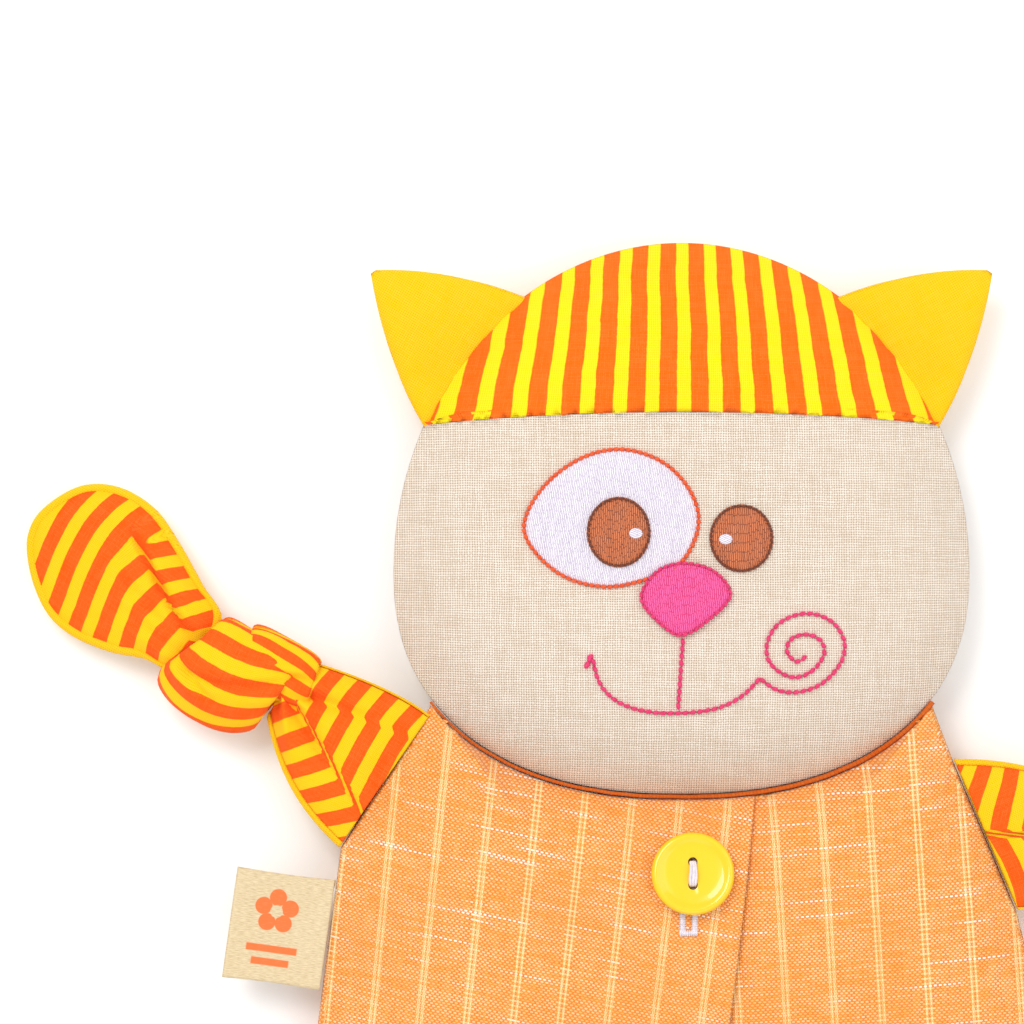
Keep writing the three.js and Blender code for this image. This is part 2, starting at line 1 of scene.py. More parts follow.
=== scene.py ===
import logging
import math
from collections.abc import Callable, Iterable, Sequence
from dataclasses import dataclass
from enum import Enum

import bmesh
import bpy
from mathutils import Matrix, Vector, noise


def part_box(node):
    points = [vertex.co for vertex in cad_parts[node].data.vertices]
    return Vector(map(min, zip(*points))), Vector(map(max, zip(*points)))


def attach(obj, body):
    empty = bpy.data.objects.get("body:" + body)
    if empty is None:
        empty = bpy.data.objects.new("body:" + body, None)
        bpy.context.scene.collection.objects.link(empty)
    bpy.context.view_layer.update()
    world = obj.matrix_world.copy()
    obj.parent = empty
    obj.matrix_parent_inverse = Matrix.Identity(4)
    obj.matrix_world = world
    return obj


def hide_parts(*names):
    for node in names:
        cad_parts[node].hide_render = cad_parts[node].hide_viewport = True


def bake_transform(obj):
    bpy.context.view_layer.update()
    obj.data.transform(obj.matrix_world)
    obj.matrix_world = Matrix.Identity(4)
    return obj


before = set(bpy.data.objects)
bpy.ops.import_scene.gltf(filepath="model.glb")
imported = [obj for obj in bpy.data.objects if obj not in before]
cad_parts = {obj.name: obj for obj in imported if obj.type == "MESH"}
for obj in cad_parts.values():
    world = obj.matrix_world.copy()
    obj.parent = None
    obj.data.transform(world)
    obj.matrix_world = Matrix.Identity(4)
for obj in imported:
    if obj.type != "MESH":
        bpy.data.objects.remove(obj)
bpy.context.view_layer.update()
LOG = logging.getLogger("plush_cat")

# Lengths are millimetres until a mesh is finished. The cat lies on its back: +X is the viewer's
# right, +Y points to the top of the head and +Z comes out of the face.
METRES = 0.001
SEAM_Z = 12.0
Plan = Callable[[float, float], float]
Rule = Callable[[Vector], Vector]


# ------------------------------------------------------------------ small measures


def ease(value: float, low: float, high: float) -> float:
    """Return 0 below low, 1 above high and a smooth step between them."""
    share = min(1.0, max(0.0, (value - low) / (high - low)))
    return share * share * (3.0 - 2.0 * share)


def bump(distance: float, width: float) -> float:
    """Return a bell of height 1 about a line, width being its half width."""
    return math.exp(-((distance / width) ** 2))


def waver(x: float, y: float, size: float, seed: float) -> float:
    """Return a smooth wandering value from about -1 to 1, with features of a size in mm."""
    return noise.noise(Vector((x / size, y / size, seed)))


def heading(angle: float) -> Vector:
    """Return the unit direction of an angle in radians."""
    return Vector((math.cos(angle), math.sin(angle)))


def from_line(point: Vector, line: Sequence[tuple[float, float]]) -> tuple[float, float]:
    """Measure a point against a line of points.

    Args:
        point: the point, of which x and y are read.
        line: corners of the line, from its start to its end.

    Returns:
        The distance from the line, positive on its left side, and the length along it.
    """
    best, along, run = 1e9, 0.0, 0.0
    flat = Vector((point.x, point.y))
    for start, end in zip(line, line[1:]):
        a, b = Vector(start), Vector(end)
        side = b - a
        share = min(1.0, max(0.0, (flat - a).dot(side) / side.length_squared))
        away = flat - (a + side * share)
        if away.length < abs(best):
            left = side.x * away.y - side.y * away.x
            best = math.copysign(away.length, left)
            along = run + share * side.length
        run += side.length
    return best, along


def smooth_path(points: Sequence[tuple[float, float]], steps: int, closed: bool) -> list[Vector]:
    """Draw a smooth line through points.

    Args:
        points: corners that the line passes through.
        steps: steps from one corner to the next.
        closed: whether the line returns to its start.

    Returns:
        Points of the line, without its start repeated.
    """
    count = len(points)
    spans = count if closed else count - 1
    corner = (lambda i: Vector(points[i % count])) if closed else (
        lambda i: Vector(points[min(max(i, 0), count - 1)]))
    found = []
    for span in range(spans):
        a, b, c, d = (corner(span + k) for k in (-1, 0, 1, 2))
        for step in range(steps):
            t = step / steps
            found.append(0.5 * ((2 * b) + (c - a) * t + (2 * a - 5 * b + 4 * c - d) * t * t
                                + (3 * b - a - 3 * c + d) * t ** 3))
    if not closed:
        found.append(corner(count - 1))
    return found


class Outline:
    """A closed flat outline that can be measured from a middle."""

    def __init__(self, points: Sequence[Vector], middle: Vector) -> None:
        """Keep the outline's points, about a middle inside it."""
        self.middle = middle
        self.points = [point - middle for point in points]
        self.known: dict[float, float] = {}

    def reach(self, angle: float) -> float:
        """Return the distance from the middle to the outline at an angle in radians."""
        key = round(angle, 5)
        if key not in self.known:
            ray = heading(angle)
            for a, b in zip(self.points, self.points[1:] + self.points[:1]):
                side = b - a
                across = ray.x * side.y - ray.y * side.x
                if abs(across) < 1e-12:
                    continue
                distance = (a.x * side.y - a.y * side.x) / across
                share = (a.x * ray.y - a.y * ray.x) / across
                if distance > 0 and -1e-6 <= share <= 1 + 1e-6:
                    self.known[key] = distance
                    break
        return self.known[key]

    def share(self, x: float, y: float) -> float:
        """Return how far a point is towards the outline, 0 at the middle and 1 on it."""
        away = Vector((x, y)) - self.middle
        return away.length / self.reach(math.atan2(away.y, away.x)) if away.length else 0.0


# ------------------------------------------------------------------ shader maths


class Socket:
    """An output socket whose Python sums become Math nodes."""

    def __init__(self, graph: "Graph", output: bpy.types.NodeSocket) -> None:
        """Keep the socket with the graph that it is in."""
        self.graph = graph
        self.output = output

    def math(self, operation: str, *others: "Socket | float") -> "Socket":
        """Return the result of a Math node on this socket and others."""
        values = dict(enumerate((self, *others)))
        return self.graph.node("ShaderNodeMath", {"operation": operation}, values)

    def __add__(self, other: "Socket | float") -> "Socket":
        """Return the sum."""
        return self.math("ADD", other)

    __radd__ = __add__

    def __mul__(self, other: "Socket | float") -> "Socket":
        """Return the product."""
        return self.math("MULTIPLY", other)

    __rmul__ = __mul__

    def __sub__(self, other: "Socket | float") -> "Socket":
        """Return the difference."""
        return self.math("SUBTRACT", other)

    def __rsub__(self, other: float) -> "Socket":
        """Return a number less this socket."""
        return self.graph.node("ShaderNodeMath", {"operation": "SUBTRACT"}, {0: other, 1: self})

    def __truediv__(self, other: "Socket | float") -> "Socket":
        """Return the quotient."""
        return self.math("DIVIDE", other)

    def abs(self) -> "Socket":
        """Return the size without its sign."""
        return self.math("ABSOLUTE")

    def floor(self) -> "Socket":
        """Return the whole number below."""
        return self.math("FLOOR")

    def sin(self) -> "Socket":
        """Return the sine."""
        return self.math("SINE")

    def larger(self, other: "Socket | float") -> "Socket":
        """Return the larger of two."""
        return self.math("MAXIMUM", other)

    def above(self, other: "Socket | float") -> "Socket":
        """Return 1 where this is the larger and 0 elsewhere."""
        return self.math("GREATER_THAN", other)

    def step(self, low: float, high: float) -> "Socket":
        """Return 0 below low, 1 above high and a smooth step between."""
        settings = {"interpolation_type": "SMOOTHSTEP"}
        values = {"Value": self, "From Min": low, "From Max": high}
        return self.graph.node("ShaderNodeMapRange", settings, values)


def tint(red: int, green: int, blue: int) -> tuple[float, float, float, float]:
    """Return a screen colour, in steps of 255, as the linear colour that shaders take."""
    def linear(value: int) -> float:
        """Return one channel."""
        share = value / 255
        return share / 12.92 if share <= 0.04045 else ((share + 0.055) / 1.055) ** 2.4
    return (linear(red), linear(green), linear(blue), 1.0)


Rgb = tuple[int, int, int]


class Graph:
    """A material's nodes."""

    def __init__(self, name: str) -> None:
        """Start a material with its shader and its output."""
        self.material = bpy.data.materials.new(name)
        self.material.use_nodes = True
        self.tree = self.material.node_tree
        self.tree.nodes.clear()
        self.shader = self.tree.nodes.new("ShaderNodeBsdfPrincipled")
        output = self.tree.nodes.new("ShaderNodeOutputMaterial")
        self.tree.links.new(self.shader.outputs[0], output.inputs[0])

    def node(self, kind: str, settings: dict | None = None, values: dict | None = None,
             output: int | str = 0) -> Socket:
        """Add a node.

        Args:
            kind: the node's type name.
            settings: its own settings, set first.
            values: numbers or sockets by input name or place.
            output: the output that is wanted.

        Returns:
            The wanted output.
        """
        made = self.tree.nodes.new(kind)
        for key, value in (settings or {}).items():
            setattr(made, key, value)
        self.fill(made, values or {})
        return Socket(self, made.outputs[output])

    def fill(self, made: bpy.types.Node, values: dict) -> None:
        """Set or link a node's inputs."""
        for key, value in values.items():
            if isinstance(value, Socket):
                self.tree.links.new(value.output, made.inputs[key])
            else:
                made.inputs[key].default_value = value

    def mix(self, factor: "Socket | float", first: "Socket | tuple", second: "Socket | tuple",
            blend: str = "MIX") -> Socket:
        """Return a colour between two."""
        settings = {"data_type": "RGBA", "blend_type": blend}
        return self.node("ShaderNodeMix", settings, {0: factor, 6: first, 7: second}, 2)

    def cloth(self) -> tuple[Socket, Socket]:
        """Return the piece's own cloth coordinates in millimetres."""
        flat = self.node("ShaderNodeUVMap", {"uv_map": "cloth"})
        across = self.node("ShaderNodeSeparateXYZ", None, {0: flat})
        return across, Socket(self, across.output.node.outputs[1])

    def place(self) -> Socket:
        """Return the place in the cat's frame, in metres."""
        return self.node("ShaderNodeTexCoord", None, None, "Object")

    def join(self, x: "Socket | float", y: "Socket | float", z: "Socket | float" = 0.0) -> Socket:
        """Return three values as a vector."""
        return self.node("ShaderNodeCombineXYZ", None, {0: x, 1: y, 2: z})

    def noise(self, vector: Socket, scale: float, detail: float = 2.0) -> Socket:
        """Return a noise value from 0 to 1."""
        values = {"Vector": vector, "Scale": scale, "Detail": detail, "Roughness": 0.55}
        return self.node("ShaderNodeTexNoise", {"noise_dimensions": "3D"}, values, "Fac")

    def finish(self, colour: "Socket | tuple", roughness: "Socket | float",
               height: Socket | None = None, relief: float = 0.1,
               **uniform: float) -> bpy.types.Material:
        """Link the shader and return the material.

        Args:
            colour: base colour.
            roughness: roughness.
            height: surface height from 0 to 1.
            relief: millimetres that the height stands for.
            uniform: the shader's own settings, with spaces as underscores.

        Returns:
            The finished material.
        """
        values: dict = {"Base Color": colour, "Roughness": roughness}
        if height is not None:
            values["Normal"] = self.node("ShaderNodeBump", None, {
                "Height": height, "Distance": relief * METRES, "Strength": 1.0})
        values |= {name.replace("_", " "): value for name, value in uniform.items()}
        self.fill(self.shader, values)
        return self.material


@dataclass(frozen=True)
class Weave:
    """A plain weave: threads over and under each other, with slubs and gaps."""

    pitch: float = 0.59  # from one thread to the next
    wander: float = 0.22  # how far a thread strays
    slub: float = 0.5  # how much threads differ

    def threads(self, graph: Graph, x: Socket, y: Socket) -> tuple[Socket, Socket, Socket]:
        """Weave a cloth.

        Args:
            graph: the material's nodes.
            x: place across the warp.
            y: place along the warp.

        Returns:
            The height from 0 to 1, where the warp is on top, and each thread's own shade.
        """
        flat = graph.join(x, y)
        stray = (graph.noise(flat, 0.16, 3.0) - 0.5) * (2 * self.wander)
        stray_too = (graph.noise(graph.join(x, y, 40.0), 0.16, 3.0) - 0.5) * (2 * self.wander)
        u = (x + stray) / self.pitch
        v = (y + stray_too) / self.pitch
        across, along = (u * math.pi).sin(), (v * math.pi).sin()
        both = across * along
        warp = (across.abs() + both) * 0.5
        weft = (along.abs() - both) * 0.5
        warp_shade = graph.noise(graph.join(u.floor() * 3.7, v * 0.08), 1.0, 1.0)
        weft_shade = graph.noise(graph.join(u * 0.08, v.floor() * 3.7, 9.0), 1.0, 1.0)
        on_top = (warp - weft).step(-0.04, 0.04)
        shade = warp_shade * on_top + weft_shade * (1.0 - on_top)
        return warp.larger(weft), on_top, shade


@dataclass(frozen=True)
class Linen:
    """Undyed linen of the face."""

    name: str = "undyed_linen"
    thread: Rgb = (240, 228, 213)
    dark_thread: Rgb = (224, 207, 187)
    # Painted shade: gap is the dark brown laid between the threads, where shade falls in the
    # weave.
    gap: Rgb = (140, 112, 88)
    weave: Weave = Weave(0.59, 0.3, 0.6)

    def material(self) -> bpy.types.Material:
        """Return the material."""
        graph = Graph(self.name)
        x, y = graph.cloth()
        height, _, shade = self.weave.threads(graph, x, y)
        cloud = graph.noise(graph.join(x, y, 5.0), 0.05, 2.0)
        thread = graph.mix(shade.step(0.3, 0.7), tint(*self.dark_thread), tint(*self.thread))
        thread = graph.mix(cloud.step(0.3, 0.75) * 0.12, thread, tint(*self.dark_thread))
        # Painted shade: the gap colour darkens the low places between the threads.
        colour = graph.mix(height.step(0.06, 0.6), tint(*self.gap), thread)
        return graph.finish(colour, 0.88, height, 0.16, Sheen_Weight=0.25, Sheen_Roughness=0.5)


@dataclass(frozen=True)
class PrintedCotton:
    """Fine cotton, plain or printed with bands across its first direction."""

    name: str
    ground: Rgb
    band: Rgb | None = None
    period: float = 7.0
    share: float = 0.55
    wobble: float = 0.5
    weave: Weave = Weave(0.42, 0.12, 0.4)
    relief: float = 0.07

    def material(self) -> bpy.types.Material:
        """Return the material."""
        graph = Graph(self.name)
        x, y = graph.cloth()
        height, _, shade = self.weave.threads(graph, x, y)
        colour: Socket | tuple = tint(*self.ground)
        if self.band is not None:
            bend = (graph.noise(graph.join(x * 0.35, y), 0.09, 2.0) - 0.5) * (2 * self.wobble)
            edge = (graph.noise(graph.join(x, y, 3.0), 1.1, 2.0) - 0.5) * 0.22
            turn = (x + bend + edge) / self.period
            saw = (turn - turn.floor() - 0.5).abs()
            band = 1.0 - saw.step(self.share / 2 - 0.016, self.share / 2 + 0.016)
            colour = graph.mix(band, colour, tint(*self.band))
        # Painted shade: gap is a darker copy of the colour laid in the low places between the
        # threads; the cloud below also uses it as random darker tone.
        gap = graph.mix(1.0, colour, (0.62, 0.52, 0.4, 1.0), "MULTIPLY")
        pale = graph.mix(0.06, colour, (1.0, 0.85, 0.3, 1.0))
        thread = graph.mix(shade.step(0.25, 0.75), colour, pale)
        cover = graph.mix(height.step(0.04, 0.45), gap, thread)
        cloud = graph.noise(graph.join(x, y, 8.0), 0.07, 3.0)
        cover = graph.mix(cloud.step(0.35, 0.8) * 0.10, cover, gap)
        return graph.finish(cover, 0.85, height, self.relief, Sheen_Weight=0.03,
                            Specular_IOR_Level=0.15)


@dataclass(frozen=True)
class CoatLinen:
    """Two-tone linen of the coat, with fine light stripes and thick light weft threads."""

    name: str = "coat_linen"
    warp: Rgb = (234, 126, 14)
    weft: Rgb = (252, 205, 150)
    line: Rgb = (250, 222, 150)
    slub: Rgb = (255, 240, 224)
    # Painted shade: gap is the darker orange laid between the threads, where shade falls in the
    # weave.
    gap: Rgb = (196, 92, 20)
    line_pitch: float = 11.5
    line_width: float = 0.6
    weave: Weave = Weave(0.6, 0.22, 0.8)

    def material(self) -> bpy.types.Material:
        """Return the material."""
        graph = Graph(self.name)
        x, y = graph.cloth()
        height, warp_up, shade = self.weave.threads(graph, x, y)
        turn = x / self.line_pitch
        beside = ((turn - turn.floor() - 0.5).abs() * self.line_pitch - 0.55).abs()
        line = 1.0 - beside.step(self.line_width * 0.45, self.line_width * 0.6)
        warp = graph.mix(shade.step(0.35, 0.75) * 0.6, tint(*self.warp), tint(240, 164, 62))
        warp = graph.mix(line, warp, tint(*self.line))
        row = (y / self.weave.pitch).floor()
        thick = graph.noise(graph.join(x * 0.035, row * 2.9, 2.0), 1.0, 1.0).step(0.62, 0.72)
        weft = graph.mix(shade.step(0.3, 0.7), tint(250, 172, 84), tint(*self.weft))
        weft = graph.mix(thick, weft, tint(*self.slub))
        thread = graph.mix(warp_up, weft, warp)
        cloud = graph.noise(graph.join(x, y, 6.0), 0.06, 3.0)
        thread = graph.mix(cloud.step(0.35, 0.75) * 0.22, thread, tint(230, 138, 36))
        # Painted shade: the gap colour darkens the low places between the threads.
        colour = graph.mix(height.step(0.03, 0.36), tint(*self.gap), thread)
        return graph.finish(colour, 0.86, height + thick * 0.5, 0.16, Sheen_Weight=0.25,
                            Sheen_Roughness=0.5)


@dataclass(frozen=True)
class StitchFill:
    """Embroidery thread laid in rows: fine ridges with offset ends."""

    name: str
    light: Rgb
    dark: Rgb
    pitch: float = 0.42
    stitch: float = 3.0
    roughness: float = 0.42

    def material(self) -> bpy.types.Material:
        """Return the material."""
        graph = Graph(self.name)
        x, y = graph.cloth()
        stray = (graph.noise(graph.join(x, y), 0.5, 2.0) - 0.5) * 0.5
        turn = (x + stray) / self.pitch
        round_ = (turn * math.pi).sin().abs()
        start = graph.noise(graph.join(turn.floor() * 5.1, 0.0), 1.0, 0.0) * 9.0
        run = (y / self.stitch) + start
        end = (run - run.floor() - 0.5).abs()
        height = round_ * (1.0 - end.step(0.38, 0.5) * 0.8)
        shade = graph.noise(graph.join(turn.floor() * 2.3, run.floor() * 4.1), 1.0, 0.0)
        # Painted shade: the colour darkens with the height, in the troughs between rows and at the
        # stitch ends, mixed with each stitch's random tone.
        colour = graph.mix((height * 0.75 + shade * 0.5).step(0.2, 0.95), tint(*self.dark),
                           tint(*self.light))
        return graph.finish(colour, self.roughness, height, 0.16, Sheen_Weight=0.3,
                            Sheen_Roughness=0.3)


@dataclass(frozen=True)
class Thread:
    """Twisted embroidery thread on single stitches."""

    name: str
    light: Rgb
    dark: Rgb

    def material(self) -> bpy.types.Material:
        """Return the material."""
        graph = Graph(self.name)
        x, y = graph.cloth()
        twist = ((x * 3.0 + y * 2.2) * math.pi).sin().abs()
        shade = graph.noise(graph.place(), 900.0, 1.0)
        # Painted shade: the colour is darker in the grooves of the twist and lighter on its
        # ridges, mixed with random tone.
        colour = graph.mix((twist * 0.5 + shade * 0.6).step(0.25, 0.85), tint(*self.dark),
                           tint(*self.light))
        return graph.finish(colour, 0.4, twist, 0.06, Sheen_Weight=0.3, Sheen_Roughness=0.3)


@dataclass(frozen=True)
class Plastic:
    """Glossy moulded plastic of the button."""

    name: str = "button_plastic"
    colour: Rgb = (255, 204, 0)

    def material(self) -> bpy.types.Material:
        """Return the material."""
        graph = Graph(self.name)
        place = graph.place()
        cloud = graph.noise(place, 90.0, 2.0)
        scratch = graph.noise(place, 1400.0, 2.0)
        colour = graph.mix(cloud.step(0.3, 0.8) * 0.25, tint(*self.colour), tint(246, 190, 0))
        roughness = scratch * 0.12 + 0.16
        return graph.finish(colour, roughness, graph.noise(place, 300.0, 1.0), 0.02,
                            Coat_Weight=0.5, Coat_Roughness=0.08, IOR=1.5)


@dataclass(frozen=True)
class Satin:
    """Woven satin ribbon of the label, with a plain printed flower and two bars."""

    name: str = "label_satin"
    ground: Rgb = (226, 206, 166)
    print_colour: Rgb = (238, 110, 40)

    def material(self) -> bpy.types.Material:
        """Return the material."""
        graph = Graph(self.name)
        x, y = graph.cloth()
        rib = (y * (math.pi / 0.28)).sin().abs()
        grain = graph.noise(graph.join(x * 0.6, y * 6.0), 1.0, 2.0)
        ground = graph.mix(grain.step(0.3, 0.75), tint(*self.ground), tint(196, 170, 128))
        motif = self.flower(x - 13.0, y - 4.0)
        for low, half in ((-5.2, 6.2), (-8.4, 4.6)):
            inside = (1.0 - (x - 13.0).abs().step(half - 0.2, half + 0.2)) * (
                1.0 - (y - low).abs().step(0.75, 1.0))
            motif = motif.larger(inside)
        ink = grain.step(0.2, 0.5) * 0.15 + 0.85
        colour = graph.mix(motif * ink, ground, tint(*self.print_colour))
        return graph.finish(colour, 0.33 + motif * 0.25, rib, 0.03, Sheen_Weight=0.2)

    def flower(self, x: Socket, y: Socket) -> Socket:
        """Return a five-petalled flower about the origin, 1 inside it."""
        motif: Socket | None = None
        for petal in range(5):
            turn = math.radians(90 + 72 * petal)
            away = ((x - 3.4 * math.cos(turn)).math("POWER", 2.0)
                    + (y - 3.4 * math.sin(turn)).math("POWER", 2.0)).math("SQRT")
            inside = 1.0 - away.step(2.0, 2.2)
            motif = inside if motif is None else motif.larger(inside)
        middle = (x.math("POWER", 2.0) + y.math("POWER", 2.0)).math("SQRT")
        return motif * middle.step(1.4, 1.6)


@dataclass(frozen=True)
class Wadding:
    """Loose matted fibre."""

    name: str = "polyester_wadding"
    light: Rgb = (245, 243, 238)
    dark: Rgb = (205, 200, 190)

    def material(self) -> bpy.types.Material:
        """Return the material."""
        graph = Graph(self.name)
        fibre = graph.noise(graph.place(), 700.0, 6.0)
        colour = graph.mix(fibre.step(0.3, 0.7), tint(*self.dark), tint(*self.light))
        return graph.finish(colour, 0.95, fibre, 0.5, Sheen_Weight=0.4)


@dataclass(frozen=True)
class Stones:
    """Dry cherry stones, packed together."""

    name: str = "cherry_stones"
    light: Rgb = (206, 162, 112)
    dark: Rgb = (112, 74, 44)

    def material(self) -> bpy.types.Material:
        """Return the material."""
        graph = Graph(self.name)
        values = {"Vector": graph.place(), "Scale": 130.0, "Randomness": 0.7}
        far = graph.node("ShaderNodeTexVoronoi", None, values, "Distance")
        # Painted shade: each stone is light in its middle and dark towards its edges, where the
        # stones meet.
        colour = graph.mix(far.step(0.1, 0.6), tint(*self.light), tint(*self.dark))
        return graph.finish(colour, 0.6, 1.0 - far, 2.0)


@dataclass(frozen=True)
class Paper:
    """Pale seamless floor."""

    name: str = "pale_floor"
    colour: Rgb = (250, 250, 250)

    def material(self) -> bpy.types.Material:
        """Return the material."""
        graph = Graph(self.name)
        speck = graph.noise(graph.place(), 6.0, 1.0)
        colour = graph.mix(speck.step(0.2, 0.8), tint(*self.colour), tint(252, 252, 252))
        return graph.finish(colour, 0.9)


# ------------------------------------------------------------------ finishes in use

ORANGE: Rgb = (252, 104, 0)


class Finish(Enum):
    """Every finish of the cat."""

    FACE = Linen()
    CAP = PrintedCotton("cap_stripes", (255, 226, 8), ORANGE, 6.65, 0.56, 0.55)
    LIMB = PrintedCotton("limb_stripes", (254, 200, 2), (250, 88, 0), 6.9, 0.54, 0.35)
    YELLOW = PrintedCotton("yellow_cotton", (252, 196, 4), weave=Weave(0.55, 0.12, 0.5),
                           relief=0.1)
    COAT = CoatLinen()
    # Painted shade: the neck edge is a real fold of coat cloth, and its darker orange stands for
    # the shade under the chin.
    SHADED_NECK = PrintedCotton("neck_edge_painted_shade", (206, 92, 22), relief=0.1)
    WHITE_FILL = StitchFill("white_satin_stitch", (246, 240, 248), (196, 184, 206))
    BROWN_FILL = StitchFill("brown_satin_stitch", (216, 120, 74), (118, 52, 26), 0.45, 2.2)
    PINK_FILL = StitchFill("pink_satin_stitch", (246, 96, 166), (214, 28, 104), 0.45, 2.2)
    WHITE = Thread("white_thread", (248, 242, 248), (214, 202, 214))
    OUTLINE = Thread("orange_thread", (246, 98, 34), (206, 52, 8))
    BROWN = Thread("brown_thread", (122, 58, 30), (70, 30, 16))
    PINK = Thread("pink_thread", (238, 58, 122), (204, 14, 74))
    BUTTON = Plastic()
    LABEL = Satin()
    FILLING = Wadding()
    POUCH = PrintedCotton("pouch_cotton", (232, 220, 192), weave=Weave(0.5, 0.15, 0.5))
    STONES = Stones()
    FLOOR = Paper()


MADE: dict[Finish, bpy.types.Material] = {}


def material_of(finish: Finish) -> bpy.types.Material:
    """Return a finish's material, made once."""
    if finish not in MADE:
        MADE[finish] = finish.value.material()
    return MADE[finish]


# ------------------------------------------------------------------ meshes


class Cloth:
    """A mesh in millimetres that keeps each vertex's place in the flat cloth."""

    def __init__(self) -> None:
        """Start an empty mesh."""
        self.bm = bmesh.new()
        self.flat = self.bm.verts.layers.float_vector.new("flat")

    @classmethod
    def disc(cls, rings: Sequence[float], sides: int) -> "Cloth":
        """Spin a line of points into a disc whose radii are the rings."""
        made = cls()
        line = [made.bm.verts.new((radius, 0.0, 0.0)) for radius in rings]
        edges = [made.bm.edges.new(pair) for pair in zip(line, line[1:])]
        bmesh.ops.spin(made.bm, geom=line + edges, cent=(0, 0, 0), axis=(0, 0, 1), dvec=(0, 0, 0),
                       angle=math.tau, steps=sides, use_merge=True)
        bmesh.ops.remove_doubles(made.bm, verts=made.bm.verts, dist=1e-5)
        return made

    @classmethod
    def grid(cls, columns: int, rows: int) -> "Cloth":
        """Make a square of faces from -1 to 1 both ways."""
        made = cls()
        bmesh.ops.create_grid(made.bm, x_segments=columns, y_segments=rows, size=1.0)
        return made

    @classmethod
    def tube(cls, path: Sequence[Vector], radius: Callable[[float], float], sides: int,
             closed_ends: bool = True) -> "Cloth":
        """Draw a ring along a path.

        Args:
            path: points that the tube follows.
            radius: the radius at a share of the path's points.
            sides: sides of the ring.
            closed_ends: whether the ends get a face.

        Returns:
            The tube.
        """
        made = cls()
        up = Vector((0.0, 0.0, 1.0))
        ring: list = []
        first: list = []
        for i, point in enumerate(path):
            along = (path[min(i + 1, len(path) - 1)] - path[max(i - 1, 0)]).normalized()
            side = along.cross(up)
            side = side.normalized() if side.length > 1e-3 else Vector((1.0, 0.0, 0.0))
            over = side.cross(along).normalized()
            size = radius(i / (len(path) - 1))
            if not ring:
                circle = bmesh.ops.create_circle(made.bm, segments=sides, radius=1.0)["verts"]
                ring = first = circle
            else:
                edges = [e for e in made.bm.edges if e.verts[0] in ring and e.verts[1] in ring]
                extruded = bmesh.ops.extrude_edge_only(made.bm, edges=edges)["geom"]
                fresh = [g for g in extruded if isinstance(g, bmesh.types.BMVert)]
                order = {v: k for k, v in enumerate(ring)}
                matched: list = [None] * sides
                for vert in fresh:
                    near = [e.other_vert(vert) for e in vert.link_edges]
                    matched[next(order[v] for v in near if v in order)] = vert
                ring = matched
            for k, vert in enumerate(ring):
                turn = math.tau * k / sides
                vert.co = point + (side * math.cos(turn) + over * math.sin(turn)) * size
                vert[made.flat] = Vector((i * 0.5, k * math.tau * size / sides, 0.0))
        if closed_ends:
            made.bm.faces.new(first)
            made.bm.faces.new(ring[::-1])
        bmesh.ops.recalc_face_normals(made.bm, faces=made.bm.faces)
        return made

    def shape(self, rule: Callable[[Vector], tuple[Vector, Vector]]) -> "Cloth":
        """Move each vertex by a rule that gives its place and its place in the flat cloth."""
        for vert in self.bm.verts:
            vert.co, flat = rule(vert.co)
            vert[self.flat] = Vector((flat.x, flat.y, 0.0))
        return self

    def move(self, matrix: Matrix) -> "Cloth":
        """Place the mesh, turning it right side out again where the matrix mirrors."""
        bmesh.ops.transform(self.bm, matrix=matrix, verts=self.bm.verts)
        if matrix.determinant() < 0:
            bmesh.ops.reverse_faces(self.bm, faces=self.bm.faces)
        return self

    def cut(self, rule: Callable[[float, float], float], keep_above: bool) -> "Cloth":
        """Cut along a curve in plan.

        Args:
            rule: how far a point of the plan is above the curve.
            keep_above: which part stays.

        Returns:
            This mesh.
        """
        gap = self.bm.verts.layers.float.new("gap")
        for vert in self.bm.verts:
            curve = vert.co.y - rule(vert.co.x, vert.co.y)
            vert[gap] = curve
            vert.co.y -= curve
        geometry = [*self.bm.verts, *self.bm.edges, *self.bm.faces]
        bmesh.ops.bisect_plane(self.bm, geom=geometry, dist=1e-5, plane_co=(0, 0, 0),
                               plane_no=(0, 1, 0), clear_inner=keep_above,
                               clear_outer=not keep_above)
        for vert in self.bm.verts:
            vert.co.y += vert[gap]
        return self

    def turn_in(self, along: Rule) -> "Cloth":
        """Extrude the open edges once by a rule, as a seam allowance."""
        edges = [edge for edge in self.bm.edges if edge.is_boundary]
        extruded = bmesh.ops.extrude_edge_only(self.bm, edges=edges)["geom"]
        for vert in (g for g in extruded if isinstance(g, bmesh.types.BMVert)):
            vert.co = along(vert.co)
        return self

    def face_out(self, outward: Vector) -> "Cloth":
        """Turn the faces over if most of them face away from a direction."""
        self.bm.normal_update()
        if sum(face.normal.dot(outward) * face.calc_area() for face in self.bm.faces) < 0:
            bmesh.ops.reverse_faces(self.bm, faces=self.bm.faces)
        return self

    def area(self) -> float:
        """Return the cloth's area in square metres."""
        return sum(face.calc_area() for face in self.bm.faces) * METRES ** 2

